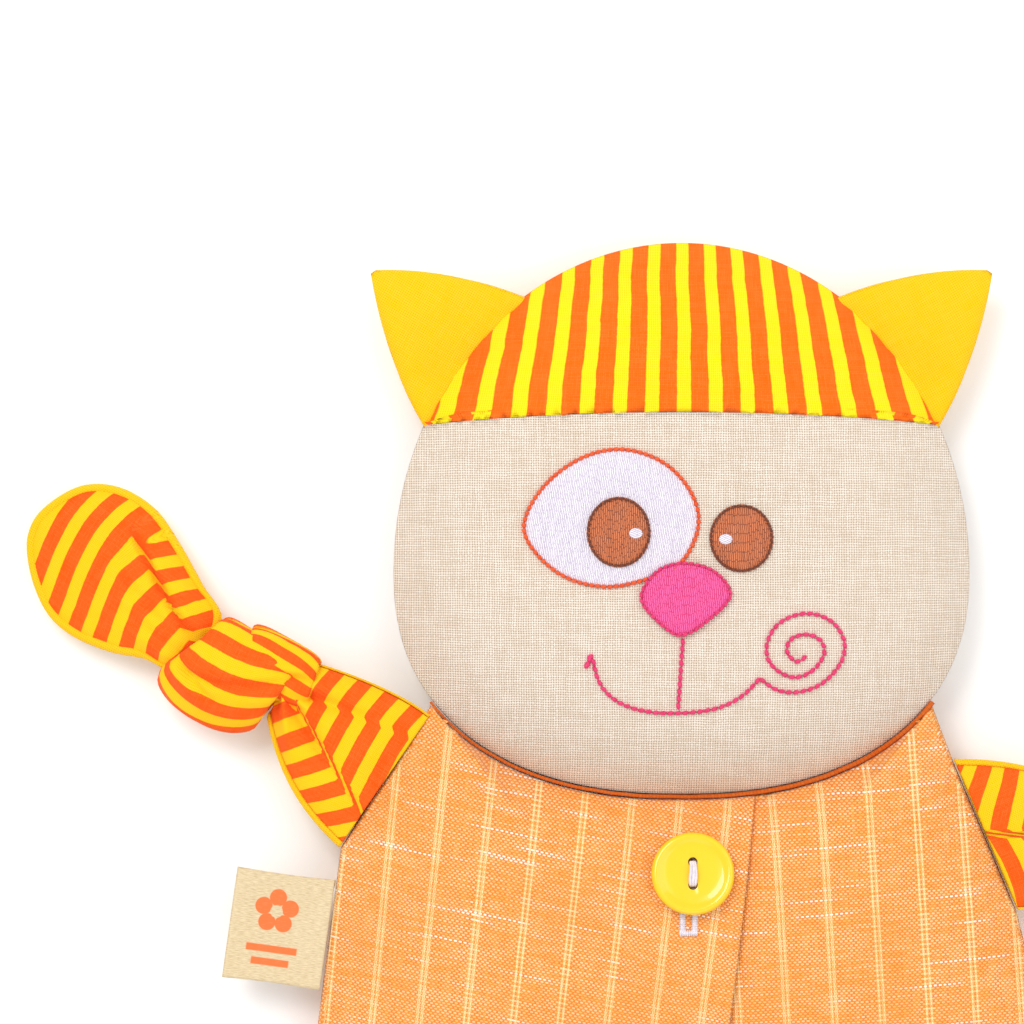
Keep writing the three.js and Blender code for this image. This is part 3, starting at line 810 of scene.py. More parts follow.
    def finish(self, name: str, finish: Finish, thickness: float = 0.0) -> bpy.types.Object:
        """Make the mesh an object in metres.

        Args:
            name: the piece's name.
            finish: its finish.
            thickness: cloth thickness, laid inwards, or 0 for none.

        Returns:
            The object, at the origin.
        """
        bmesh.ops.scale(self.bm, vec=(METRES,) * 3, verts=self.bm.verts)
        layer = self.bm.loops.layers.uv.new("cloth")
        for face in self.bm.faces:
            face.smooth = True
            for loop in face.loops:
                loop[layer].uv = loop.vert[self.flat].xy
        mesh = bpy.data.meshes.new(name)
        self.bm.to_mesh(mesh)
        self.bm.free()
        made = bpy.data.objects.new(name, mesh)
        bpy.context.scene.collection.objects.link(made)
        mesh.materials.append(material_of(finish))
        if thickness:
            wall = made.modifiers.new("wall", "SOLIDIFY")
            wall.thickness = thickness * METRES
            wall.offset = -1.0
            wall.use_even_offset = False
        return made


def joined(parts: Iterable[Cloth]) -> Cloth:
    """Join meshes into one."""
    whole = Cloth()
    for part in parts:
        mesh = bpy.data.meshes.new("part")
        part.bm.to_mesh(mesh)
        part.bm.free()
        whole.bm.from_mesh(mesh)
        bpy.data.meshes.remove(mesh)
    whole.flat = whole.bm.verts.layers.float_vector["flat"]
    return whole


def declare(made: bpy.types.Object, flat: tuple[float, float], area: float, held: str,
            *rests: str) -> None:
    """Log a cloth piece's name, flat size and area.

    Args:
        made: the piece.
        flat: width and length in mm, the longest runs over the shaped cloth.
        area: the shaped cloth's own area in square metres.
        held: how it is held; not used.
        rests: what it rests on; not used.
    """
    LOG.info("%s: %.0f x %.0f mm, %.5f square metres", made.name, *flat, area)


# ------------------------------------------------------------------ stitches


@dataclass(frozen=True)
class Stitch:
    """One stitch of a line: a short plump strand."""

    length: float = 2.0
    width: float = 0.9
    height: float = 0.55
    lean: float = 12.0  # degrees that each stitch leans from its line

    def strand(self, at: Vector, angle: float, length: float) -> Cloth:
        """Return a stitch about a point, pointing along an angle in radians."""
        made = Cloth()
        bmesh.ops.create_icosphere(made.bm, subdivisions=1, radius=0.5)
        turn = Matrix.Translation(at) @ Matrix.Rotation(angle, 4, "Z") @ Matrix.Diagonal(
            (length, self.width, self.height * 2, 1.0))
        for vert in made.bm.verts:
            vert[made.flat] = Vector((vert.co.x * length, vert.co.y * self.width, 0.0))
        return made.move(turn)

    def run(self, path: Sequence[Vector], over: Plan, spacing: float | None = None) -> Cloth:
        """Lay stitches along a path.

        Args:
            path: points of the line in plan.
            over: the height of the cloth's surface.
            spacing: from one stitch to the next, its length if not given.

        Returns:
            The stitches as one mesh.
        """
        pace = spacing or self.length * 0.86
        lengths = [0.0]
        for a, b in zip(path, path[1:]):
            lengths.append(lengths[-1] + (b - a).length)
        count = max(1, round(lengths[-1] / pace))
        parts = []
        for i in range(count):
            want = (i + 0.5) * lengths[-1] / count
            k = max(j for j, length in enumerate(lengths[:-1]) if length <= want)
            side = path[k + 1] - path[k]
            at = path[k] + side * ((want - lengths[k]) / max(side.length, 1e-6))
            angle = math.atan2(side.y, side.x) + math.radians(self.lean)
            place = Vector((at.x, at.y, over(at.x, at.y) + self.height * 0.25))
            parts.append(self.strand(place, angle, self.length))
        return joined(parts)

    def across(self, path: Sequence[Vector], over: Plan, spacing: float) -> Cloth:
        """Lay stitches across a path, close together."""
        turned = Stitch(self.length, self.width, self.height, 90.0 + self.lean)
        return turned.run(path, over, spacing)


def patch(outline: Sequence[Vector], middle: Vector, over: Plan, height: float,
          angle: float) -> Cloth:
    """Raise a filled shape of stitches on a surface.

    Args:
        outline: the shape's edge in plan.
        middle: a point inside it.
        over: the height of the cloth's surface.
        height: how far the stitches stand on it.
        angle: direction of the stitches in degrees.

    Returns:
        The patch, open underneath.
    """
    edge = Outline(outline, middle)
    rings = [0.0, *(k / 10 for k in range(1, 10)), 0.95, 0.985, 1.0, 1.001]
    lay = Matrix.Rotation(math.radians(90 - angle), 2)

    def rule(co: Vector) -> tuple[Vector, Vector]:
        """Lay one vertex on the surface."""
        share = min(1.0, co.xy.length)
        turn = math.atan2(co.y, co.x)
        flat = middle + heading(turn) * (share * edge.reach(turn))
        lift = height * (1.0 - share ** 14) ** 0.5 if share < 1 else -0.25
        if co.xy.length <= 1.0 and share == 1.0:
            lift = 0.0
        return Vector((flat.x, flat.y, over(flat.x, flat.y) + lift)), (lay @ flat).to_3d()

    return Cloth.disc(rings, 56).shape(rule).face_out(Vector((0, 0, 1)))


# ------------------------------------------------------------------ head


@dataclass
class Head:
    """The head: a face and cap in front, the same behind, round wadding."""

    middle_y: float = 103.0
    half: float = 70.0
    rise: float = 80.0
    drop: float = 54.0
    jowl_power: float = 2.3
    crown: float = 19.0
    depth: float = 12.0
    brow_side: float = 35.0
    brow_middle: float = 38.5
    back_brow: float = 36.0
    cloth: float = 0.9
    hinge: tuple[float, float] = (62.0, 98.0)  # the neck bends between these heights

    def reach(self, angle: float) -> float:
        """Return the distance from the middle to the rim."""
        upper = math.sin(angle) > 0
        height, power = (self.rise, 2.0) if upper else (self.drop, self.jowl_power)
        side = abs(math.cos(angle) / self.half) ** power
        up = abs(math.sin(angle) / height) ** power
        return (side + up) ** (-1.0 / power)

    def rim(self, angle: float, out: float = 0.0) -> Vector:
        """Return a point of the rim, moved out along the rim's normal."""
        step = 0.01
        along = (heading(angle + step) * self.reach(angle + step)
                 - heading(angle - step) * self.reach(angle - step)).normalized()
        point = heading(angle) * self.reach(angle) + Vector((0.0, self.middle_y))
        return point + Vector((along.y, -along.x)) * out

    def brow(self, x: float, front: bool) -> float:
        """Return the height of the brow seam."""
        if not front:
            return self.middle_y + self.back_brow
        share = min(1.0, abs(x) / self.half)
        return self.middle_y + self.brow_side + (self.brow_middle - self.brow_side) * (
            1.0 - share * share)

    def share(self, x: float, y: float) -> float:
        """Return how far a point is towards the rim."""
        away = Vector((x, y - self.middle_y))
        return away.length / self.reach(math.atan2(away.y, away.x)) if away.length else 0.0

    def pucker(self, x: float, y: float) -> float:
        """Return the small gathers along the rim."""
        share = self.share(x, y)
        angle = math.atan2(y - self.middle_y, x)
        inwards = (1.0 - share) * self.reach(angle)
        wander = waver(math.cos(angle) * 30, math.sin(angle) * 30, 12, 2)
        wave = math.sin(angle * 58 + 3.0 * wander)
        strength = 0.5 + 0.5 * waver(math.cos(angle) * 60, math.sin(angle) * 60, 25, 7)
        return 0.42 * wave * strength * math.exp(-inwards / 4.5) * ease(inwards, 0.0, 1.2)

    def front(self, x: float, y: float) -> float:
        """Return the height of the front cloth over a point of the plan."""
        share = min(1.0, self.share(x, y))
        height = SEAM_Z + self.crown * (1.0 - share ** 5)
        soft = (1.0 - share ** 3)
        height += soft * (0.55 * waver(x, y, 34, 1) + 0.22 * waver(x, y, 11, 4))
        seam = y - self.brow(x, True)
        gather = 1.0 + 0.5 * math.sin(x * 1.25 + 2.0 * waver(x, 0, 9, 3))
        height -= soft * (0.7 * bump(seam, 0.7) + 0.12 * gather * bump(seam + 1.2, 2.4))
        return height + self.pucker(x, y)

    def back(self, x: float, y: float) -> float:
        """Return the height of the back cloth over a point of the plan."""
        share = min(1.0, self.share(x, y))
        drop = min(1.0, 1.06 * (1.0 - share ** 5.5))
        height = SEAM_Z - self.depth * drop
        seam = y - self.brow(x, False)
        return height + 0.7 * bump(seam, 0.9) * (1.0 - share ** 4) - self.pucker(x, y)

    def half_shell(self, front: bool, cap: bool) -> Cloth:
        """Return the front or back of the head as one cloth with its turned-in seam."""
        rings = [k / 30 for k in range(26)]
        rings += [0.855, 0.88, 0.9, 0.92, 0.938, 0.955, 0.968, 0.98, 0.99, 0.997, 1.0, 1.02, 1.04]
        surface = self.front if front else self.back
        sign = 1.0 if front else -1.0

        def rule(co: Vector) -> tuple[Vector, Vector]:
            """Lay one vertex on the head."""
            share = co.xy.length
            angle = math.atan2(co.y, co.x)
            if share <= 1.005:
                flat = heading(angle) * (share * self.reach(angle)) + Vector((0, self.middle_y))
                z = surface(flat.x, flat.y)
                z = max(z, SEAM_Z + 0.12) if front else min(z, SEAM_Z - 0.12)
            else:
                flat = self.rim(angle, -70.0 * (share - 1.0))
                z = SEAM_Z + sign * 0.1
            return Vector((flat.x, flat.y, z)), self.print_place(flat) if cap else flat.to_3d()

        return Cloth.disc(rings, 220).shape(rule).face_out(Vector((0, 0, sign)))

    def print_place(self, flat: Vector) -> Vector:
        """Return the place in the cloth: the cap's bands spread a little towards the brow."""
        rise = flat.y - self.middle_y - 38.0
        fan = 1.0 + 0.0038 * (42.0 - rise) * (1.0 + 0.55 * (flat.x / 62.0) ** 2)
        return Vector((flat.x / fan, flat.y, 0.0))

    def build(self) -> None:
        """Make the head's cloths and its wadding."""
        for front in (True, False):
            for cap in (True, False):
                self.panel(front, cap)
        self.wadding()

    def panel(self, front: bool, cap: bool) -> None:
        """Make one of the head's four cloths."""
        shell = self.half_shell(front, cap)
        sign = 1.0 if front else -1.0

        def above(x: float, y: float) -> float:
            """Return how far a point is above the brow seam."""
            return y - self.brow(x, front)

        shell.cut(above, cap)
        inside = 1.6 if cap else -1.6

        def tuck(co: Vector) -> Vector:
            """Turn the brow edge in under the cloth; leave the rim."""
            if abs(above(co.x, co.y)) > 0.02 or abs(co.z - SEAM_Z) < 0.2:
                return co + Vector((0, 0, -0.01 * sign))
            full = ease(abs(co.z - SEAM_Z), 0.0, 9.0)
            return co + Vector((0.0, inside * full, (-0.02 - 1.1 * full) * sign))

        shell.turn_in(tuck)
        name = {(True, True): "cap_front", (True, False): "face", (False, True): "cap_back",
                (False, False): "head_back"}[front, cap]
        area = shell.area()
        made = shell.finish(f"{name}_cloth", Finish.CAP if cap else Finish.FACE, self.cloth)
        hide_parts(f"{name}_panel")
        flat = {"cap_front": (138.0, 52.0), "cap_back": (132.0, 52.0), "face": (158.0, 105.0),
                "head_back": (152.0, 99.0)}[name]
        declare(made, flat, area, "stretched", "head_filling")
        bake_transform(made)

    def wadding(self) -> None:
        """Make the wadding inside the cloths."""
        inset = 3.2

        def rule(co: Vector) -> tuple[Vector, Vector]:
            """Swell a ball to the inside of the cloths."""
            share = min(1.0, co.xy.length)
            angle = math.atan2(co.y, co.x)
            out = heading(angle) * (share * (self.reach(angle) - inset))
            body = (1.0 - share ** 5)
            z = (self.crown - 2.9) * body if co.z >= 0 else (2.6 - self.depth) * body
            flat = out + Vector((0, self.middle_y))
            z -= 6.0 * body * (1.0 - ease(flat.y, 84.0, 104.0)) if co.z >= 0 else 0.0
            return Vector((flat.x, flat.y, SEAM_Z + z)), flat.to_3d()

        ball = Cloth()
        bmesh.ops.create_uvsphere(ball.bm, u_segments=72, v_segments=40, radius=1.0)
        made = ball.shape(rule).finish("head_wadding", Finish.FILLING)
        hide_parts("head_filling")
        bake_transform(made)


# ------------------------------------------------------------------ embroidery


@dataclass
class Face:
    """The embroidered face, drawn about the head's middle."""

    head: Head
    stand: float = 0.55
    eye: tuple[tuple[float, float], ...] = (
        (-38.3, 12.2), (-33.3, 21.1), (-24.4, 27.6), (-14.5, 29.6), (-4.6, 26.2), (1.9, 18.8),
        (3.3, 10.6), (-1.2, 2.0), (-9.5, -1.6), (-18.8, -3.3), (-28.6, -0.9), (-36.0, 5.4))
    nose: tuple[tuple[float, float], ...] = (
        (-0.7, 2.4), (-6.9, 0.2), (-10.4, -5.8), (-6.8, -11.2), (-0.5, -15.0), (7.7, -9.7),
        (11.1, -4.7), (6.8, 0.7))
    smile: tuple[tuple[float, float], ...] = (
        (-23.2, -22.6), (-22.2, -19.9), (-20.6, -25.6), (-17.6, -29.6), (-13.2, -32.1),
        (-7.6, -33.4), (-1.6, -33.6), (4.8, -33.1), (10.2, -31.6), (14.6, -28.9), (18.1, -25.2))
    curl: tuple[tuple[float, float], ...] = (
        (18.1, -25.2), (22.0, -27.9), (27.0, -28.6), (33.0, -26.6), (37.4, -21.9), (38.5, -17.0),
        (36.3, -12.5), (32.0, -10.0), (26.9, -10.0), (22.3, -12.4), (19.9, -16.5), (20.1, -20.7),
        (23.0, -23.8), (26.9, -25.0), (31.0, -23.2), (33.6, -19.3), (32.5, -16.0), (29.0, -14.7),
        (25.4, -16.0), (24.7, -19.0), (27.0, -21.2), (29.4, -19.8))

    def lift(self, x: float, y: float) -> float:
        """Return the cloth's height over a point drawn about the head's middle."""
        return self.head.front(x, y + self.head.middle_y)

    def on_patch(self, x: float, y: float) -> float:
        """Return the height of a patch over a point."""
        return self.lift(x, y) + self.stand

    def place(self, cloth: Cloth, name: str, finish: Finish, slot: str, *nodes: str) -> None:
        """Finish a piece of embroidery, placed about the head's middle."""
        cloth.move(Matrix.Translation((0, self.head.middle_y, 0)))
        made = cloth.finish(name, finish)
        if nodes:
            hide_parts(*nodes)
        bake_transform(made)
        LOG.info("%s", name)

    def build(self) -> None:
        """Make the eyes, the nose and the mouth."""
        eye = smooth_path(self.eye, 5, True)
        self.place(patch(eye, Vector((-17.0, 13.0)), self.lift, self.stand, 82), "eye_white_patch",
                   Finish.WHITE_FILL, "white_thread", "eye_white")
        ring = Stitch(1.7, 1.25, 0.85, 5.0).run([*eye, eye[0]], self.lift)
        self.place(ring, "eye_outline_stitches", Finish.OUTLINE, "orange_thread", "eye_outline")
        self.iris("big", Vector((-15.7, 9.8)), (7.7, 8.5), Vector((-11.6, 9.5)), self.on_patch)
        self.iris("small", Vector((13.7, 8.3)), (7.7, 8.2), Vector((9.9, 8.1)), self.lift)
        nose = smooth_path(self.nose, 5, True)
        self.place(patch(nose, Vector((0.2, -5.6)), self.on_patch, 0.4, 85), "nose_patch",
                   Finish.PINK_FILL, "pink_thread", "nose")
        rim = Stitch(1.8, 0.9, 0.7, 10.0).run([*nose, nose[0]],
                                              lambda x, y: self.on_patch(x, y) + 0.2)
        self.place(rim, "nose_rim_stitches", Finish.PINK, "pink_thread")
        self.mouth()

    def iris(self, name: str, middle: Vector, half: tuple[float, float], glint: Vector,
             over: Plan) -> None:
        """Make an iris with its dark rim and its glint."""
        turns = [math.tau * k / 40 for k in range(40)]
        edge = [middle + Vector((half[0] * math.cos(t), half[1] * math.sin(t))) for t in turns]
        self.place(patch(edge, middle, over, 0.45, 88), f"{name}_iris_patch", Finish.BROWN_FILL,
                   "brown_thread", f"{name}_iris")
        inner = [middle + (point - middle) * 0.95 for point in edge]
        rim = Stitch(1.55, 0.8, 0.7, 22.0).run([*inner, inner[0]], lambda x, y: over(x, y) + 0.25)
        self.place(rim, f"{name}_iris_rim", Finish.BROWN, "brown_thread")
        spot = [glint + Vector((1.65 * math.cos(t), 1.25 * math.sin(t))) for t in turns]
        self.place(patch(spot, glint, lambda x, y: over(x, y) + 0.4, 0.35, 20),
                   f"{name}_glint_patch", Finish.WHITE_FILL, "white_thread", f"{name}_glint")

    def mouth(self) -> None:
        """Make the smile, the line from the nose and the curl on the cheek."""
        stitch = Stitch(2.05, 1.25, 0.8, 12.0)
        lines = [smooth_path(self.smile, 4, False), smooth_path(self.curl, 4, False),
                 [Vector((-0.3 - 0.06 * k, -15.6 - 0.9 * k)) for k in range(20)]]
        barb = [Vector((-22.2, -19.9)), Vector((-23.8, -22.8))]
        stitches = joined([*(stitch.run(line, self.lift) for line in lines),
                           stitch.run(barb, self.lift)])
        self.place(stitches, "mouth_stitches", Finish.PINK, "pink_thread", "mouth_and_curl")


# ------------------------------------------------------------------ ears


@dataclass
class Ear:
    """An ear: two cloths turned out, flat, with a little air between them."""

    head: Head
    side: int
    tip: tuple[float, float] = (12.0, 38.0)
    span: float = 31.5
    bulge: float = 2.2
    tip_width: float = 2.2

    def build(self) -> None:
        """Make both cloths."""
        self.cloth(True)
        self.cloth(False)

    def cloth(self, front: bool) -> None:
        """Make the front or the back cloth."""
        head = self.head
        reach = head.half * math.sqrt(1 - (head.brow_side / head.rise) ** 2)
        low = math.atan2(head.brow_side, reach)
        high = low + math.radians(self.span)
        outer = head.rim(low)
        tip = outer + Vector(self.tip)
        sign = 1.0 if front else -1.0
        margin = 0.1

        def rule(co: Vector) -> tuple[Vector, Vector]:
            """Lay one vertex on the ear, the first direction round the head."""
            across = min(1.0, max(-1.0, co.x * (1 + margin)))
            up = min(1.0, (co.y * (1 + margin / 2) + 1) / 2)
            fold_side = max(0.0, abs(co.x) * (1 + margin) - 1.0) / margin
            fold_tip = max(0.0, (co.y * (1 + margin / 2) + 1) / 2 - 1.0) / (margin / 4)
            eased = math.sin(across * math.pi / 2) * 0.35 + across * 0.65
            angle = low + (high - low) * (1 + eased) / 2
            root = head.rim(angle, -0.6)
            end = tip + Vector((-0.55, 0.35)) * (eased * self.tip_width / 2)
            flat = root.lerp(end, up)
            lean = Vector((0.75, -0.65)) if across < 0 else Vector((0.08, 1.0))
            flat += lean * (abs(eased) ** 3 * 4 * up * (1 - up) * self.bulge)
            edge = max(abs(across) ** 10, up ** 14)
            puff = 1.0 + 1.5 * math.sin(math.pi * up) * (1 - abs(across) ** 3)
            puff += 0.25 * waver(flat.x, flat.y, 9, 5)
            height = puff * (1.0 - edge) + 0.1
            middle = root.lerp(end, 0.5)
            inward = (middle - flat).normalized()
            turned = max(fold_side, fold_tip)
            flat = flat + inward * (2.0 * turned)
            z = SEAM_Z + 0.2 + sign * (height - 0.05 * turned)
            place = Vector((self.side * flat.x, flat.y, z))
            lay = Matrix.Rotation(math.radians(-32), 2) @ flat
            return place, lay.to_3d()

        made_cloth = Cloth.grid(34, 40).shape(rule).face_out(Vector((0, 0, sign)))
        area = made_cloth.area()
        name = "left_ear" if self.side < 0 else "right_ear"
        part = "front" if front else "back"
        made = made_cloth.finish(f"{name}_{part}_cloth", Finish.YELLOW, 0.6)
        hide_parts(f"{name}_{part}")
        declare(made, (40.0, 34.0), area, "stretched")
        start, end = head.rim((low + high) / 2, 0.0), head.rim((low + high) / 2, 5.0)
        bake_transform(made)
        LOG.info("%s", made.name)


# ------------------------------------------------------------------ coat


@dataclass
class Coat:
    """The coat: a left front that laps over the right one, a back and the raw neck edge."""

    head: Head
    crown: float = 11.0
    depth: float = 12.0
    neck_out: float = 1.0
    neck_half: float = 61.0
    flap_top_x: float = 18.0
    slant: float = 0.118
    underlap: float = 26.0
    cloth: float = 0.8
    hem_y: float = -62.0
    button_at: tuple[float, float] = (2.3, 30.6)

    def __post_init__(self) -> None:
        """Draw the coat's outline."""
        neck = self.neck_curve(self.neck_out, 40)
        self.neck = self.neck_curve(self.neck_out, 160)
        self.left_neck, self.right_neck = neck[0], neck[-1]
        corner = [Vector((92, -42)), Vector((91.2, -50)), Vector((89, -56)), Vector((85.5, -60)),
                  Vector((80, -62))]
        right = [Vector((66, 57.5)), Vector((81.5, 21)), Vector((88.5, -6)), *corner]
        left = [Vector((-83, 36)), Vector((-88.5, -6)), *(Vector((-p.x, p.y)) for p in corner)]
        self.outline = Outline([*neck[::-1], *left, *right[::-1]], Vector((0, 0)))

    def neck_curve(self, out: float, steps: int) -> list[Vector]:
        """Return points of the rim under the chin, from the left neck corner to the right."""
        ends = []
        for side in (-1, 1):
            low, high = (math.pi, 1.5 * math.pi) if side < 0 else (1.5 * math.pi, math.tau)
            for _ in range(40):
                middle = (low + high) / 2
                if self.head.rim(middle, out).x < side * self.neck_half:
                    low = middle
                else:
                    high = middle
            ends.append(low)
        turn = (ends[1] - ends[0]) / steps
        return [self.head.rim(ends[0] + turn * k, out) for k in range(steps + 1)]

    def flap_x(self, y: float) -> float:
        """Return where the flap's free edge is at a height."""
        return self.flap_top_x + self.slant * (y - 49.0)

    def creases(self, x: float, y: float) -> float:
        """Return the soft folds of the coat's front."""
        at = Vector((x, y))
        height = 0.0
        for line, width, size in (
            (((-64, 62), (-58, 34), (-60, 0)), 4.5, 0.75),
            (((-50, 58), (-46, 30)), 4.0, -0.4),
            (((-80, 30), (-60, 12), (-30, 4)), 7.0, 0.35),
            (((60, 56), (56, 30), (62, -8)), 5.0, 0.6),
            (((30, 46), (34, 16)), 5.0, 0.4),
            (((-30, -56), (-26, -20)), 8.0, 0.4),
            (((40, -58), (34, -20)), 8.0, 0.45),
        ):
            away, _ = from_line(at, line)
            height += size * bump(away, width)
        return height

    def front(self, x: float, y: float) -> float:
        """Return the height of the coat's front over a point of the plan."""
        share = min(1.0, self.outline.share(x, y))
        soft = 1.0 - share ** 3
        height = SEAM_Z + self.crown * (1.0 - share ** 5)
        height += soft * (0.5 * waver(x, y, 40, 11) + 0.25 * waver(x, y, 13, 12))
        height += soft * self.creases(x, y)
        edge = (1.0 - share) * self.outline.reach(math.atan2(y, x))
        gather = math.sin((x - y) * 1.1 + 2.5 * waver(x, y, 10, 8))
        return height + 0.22 * gather * math.exp(-edge / 4.0) * ease(edge, 0.0, 1.5)

    def sides(self, y: float) -> tuple[float, float]:
        """Return the left and right edges of the coat at a height below the neck corners."""
        def cross(points: Sequence[Vector]) -> float:
            """Return where a side crosses the height."""
            for a, b in zip(points, points[1:]):
                if b.y <= y <= a.y:
                    return a.x + (b.x - a.x) * (a.y - y) / max(a.y - b.y, 1e-9)
            return points[-1].x if y < points[-1].y else points[0].x
        corner = [(92, -42), (91.2, -50), (89, -56), (85.5, -60), (80, -62)]
        right = [self.right_neck, Vector((66, 57.5)), Vector((81.5, 21)), Vector((88.5, -6)),
                 *map(Vector, corner)]
        left = [self.left_neck, Vector((-83, 36)), Vector((-88.5, -6)),
                *(Vector((-x, z)) for x, z in corner)]
        return cross(left), cross(right)

    def top(self, x: float) -> float:
        """Return the height of the neck edge at a place across."""
        a, b = next(((a, b) for a, b in zip(self.neck, self.neck[1:]) if b.x >= x), self.neck[-2:])
        return a.y + (b.y - a.y) * (x - a.x) / (b.x - a.x)

    def panel(self, name: str, left: Callable[[float], float] | None,
              right: Callable[[float], float] | None, height: Plan, lap: float,
              lay: Callable[[float, float], Vector], columns: int) -> Cloth:
        """Lay one front or back of the coat.

        Args:
            name: the piece, for the log.
            left: where its own left edge is, or None where it runs to the side seam.
            right: the same for its right edge.
            height: the cloth's height.
            lap: 1 for a cloth that faces up, -1 for one that faces down.
            lay: the place in the flat cloth.
            columns: faces across.

        Returns:
            The cloth with its edges turned in.
        """
        margin = 0.03
        rows = 110

        def spread(value: float) -> float:
            """Crowd the faces towards the edges."""
            return 0.55 * value + 0.45 * math.sin(value * math.pi / 2)

        def rule(co: Vector) -> tuple[Vector, Vector]:
            """Lay one vertex on the coat."""
            a, b = co.x * (1 + margin), co.y * (1 + margin)
            over_x, over_y = max(0.0, abs(a) - 1.0), max(0.0, abs(b) - 1.0)
            a, b = spread(min(1.0, max(-1.0, a))), spread(min(1.0, max(-1.0, b)))
            # Find the point by its share of the height and of the width there.
            y = self.hem_y + (1 + b) / 2 * (50.0 - self.hem_y)
            for _ in range(6):
                low_x, high_x = self.sides(y)
                low_x = left(y) if left else low_x
                high_x = right(y) if right else high_x
                x = low_x + (high_x - low_x) * (1 + a) / 2
                y = self.hem_y + (1 + b) / 2 * (self.top(max(-61.0, min(61.0, x))) - self.hem_y)
            turned = max(over_x, over_y) / margin
            flat = Vector((x, y))
            own_edge = (left is not None and a < 0) or (right is not None and a > 0)
            z = height(x, y)
            seam = not (over_x > 0 and own_edge)
            if turned > 0:
                flat = flat + (Vector((0, -5)) - flat).normalized() * (2.2 * turned)
                z = z + lap * 0.05 if seam else z - lap * 0.95
            return Vector((flat.x, flat.y, z)), lay(x, y)

        made = Cloth.grid(columns, rows).shape(rule).face_out(Vector((0, 0, lap)))
        LOG.info("%s: %d faces", name, len(made.bm.faces))
        return made

    def build(self) -> None:
        """Make the coat's pieces."""
        lift = 0.5

        def left_height(x: float, y: float) -> float:
            """Return the left front's height: raised a little where it laps over."""
            over = ease(x, self.flap_x(y) - 32.0, self.flap_x(y) - 18.0)
            rolled = bump(x - self.flap_x(y), 1.4) * 0.35
            return self.front(x, y) + lift * over - rolled

        def right_height(x: float, y: float) -> float:
            """Return the right front's height: lower where it lies under the flap."""
            under = 1.0 - ease(x, self.flap_x(y) - 1.0, self.flap_x(y) + 6.0)
            return self.front(x, y) - 1.7 * under

        def left_lay(x: float, y: float) -> Vector:
            """Return the left front's place in the cloth, its stripes along the flap's edge."""
            return Vector((x - 0.115 * (y - 19.3) + 26.8 + 5.75 + 0.0004 * (30 - y) * (x + 30),
                           y + 0.21 * x, 0.0))

        def right_lay(x: float, y: float) -> Vector:
            """Return the right front's place in the cloth."""
            return Vector((x + 0.06 * y + 4.0, y - 0.08 * x, 0.0))

        left = self.panel("left front", None, self.flap_x, left_height, 1.0, left_lay, 110)
        right = self.panel("right front", lambda y: self.flap_x(y) - self.underlap, None,
                           right_height, 1.0, right_lay, 100)

        def back_height(x: float, y: float) -> float:
            """Return the back's height."""
            share = min(1.0, self.outline.share(x, y))
            return SEAM_Z - self.depth * min(1.0, 1.06 * (1.0 - share ** 5.5))

        back = self.panel("back", None, None, back_height, -1.0, right_lay, 120)
        self.finish(left, "coat_left_front", "front_left_panel", (106.0, 139.0))
        self.finish(right, "coat_right_front", "front_right_panel", (115.0, 141.0))
        self.finish(back, "coat_back", "back_panel", (192.0, 143.0))
        self.neck_edge()

    def finish(self, cloth: Cloth, name: str, node: str, flat: tuple[float, float]) -> None:
        """Finish a cloth of the coat and attach it to the body."""
        area = cloth.area()
        made = cloth.finish(name, Finish.COAT, self.cloth)
        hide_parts(node)
        declare(made, flat, area, "laid", "pouch_front")
        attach(made, "body")

    def neck_edge(self) -> None:
        """Make the folded raw edge between the face and the coat, coloured a darker orange as
        painted shade under the chin.
        """
        path = []
        for point in self.neck_curve(0.55, 120):
            sway = 0.2 * waver(point.x, 0.0, 6.0, 21)
            path.append(Vector((point.x, point.y + sway, SEAM_Z + 0.8)))
        edge = Cloth.tube(path, lambda share: 0.34 + 0.3 * share, 10)
        made = edge.finish("neck_edge", Finish.SHADED_NECK)
        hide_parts("neck_tape")
        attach(made, "body")
        LOG.info("%s", made.name)


# ------------------------------------------------------------------ button


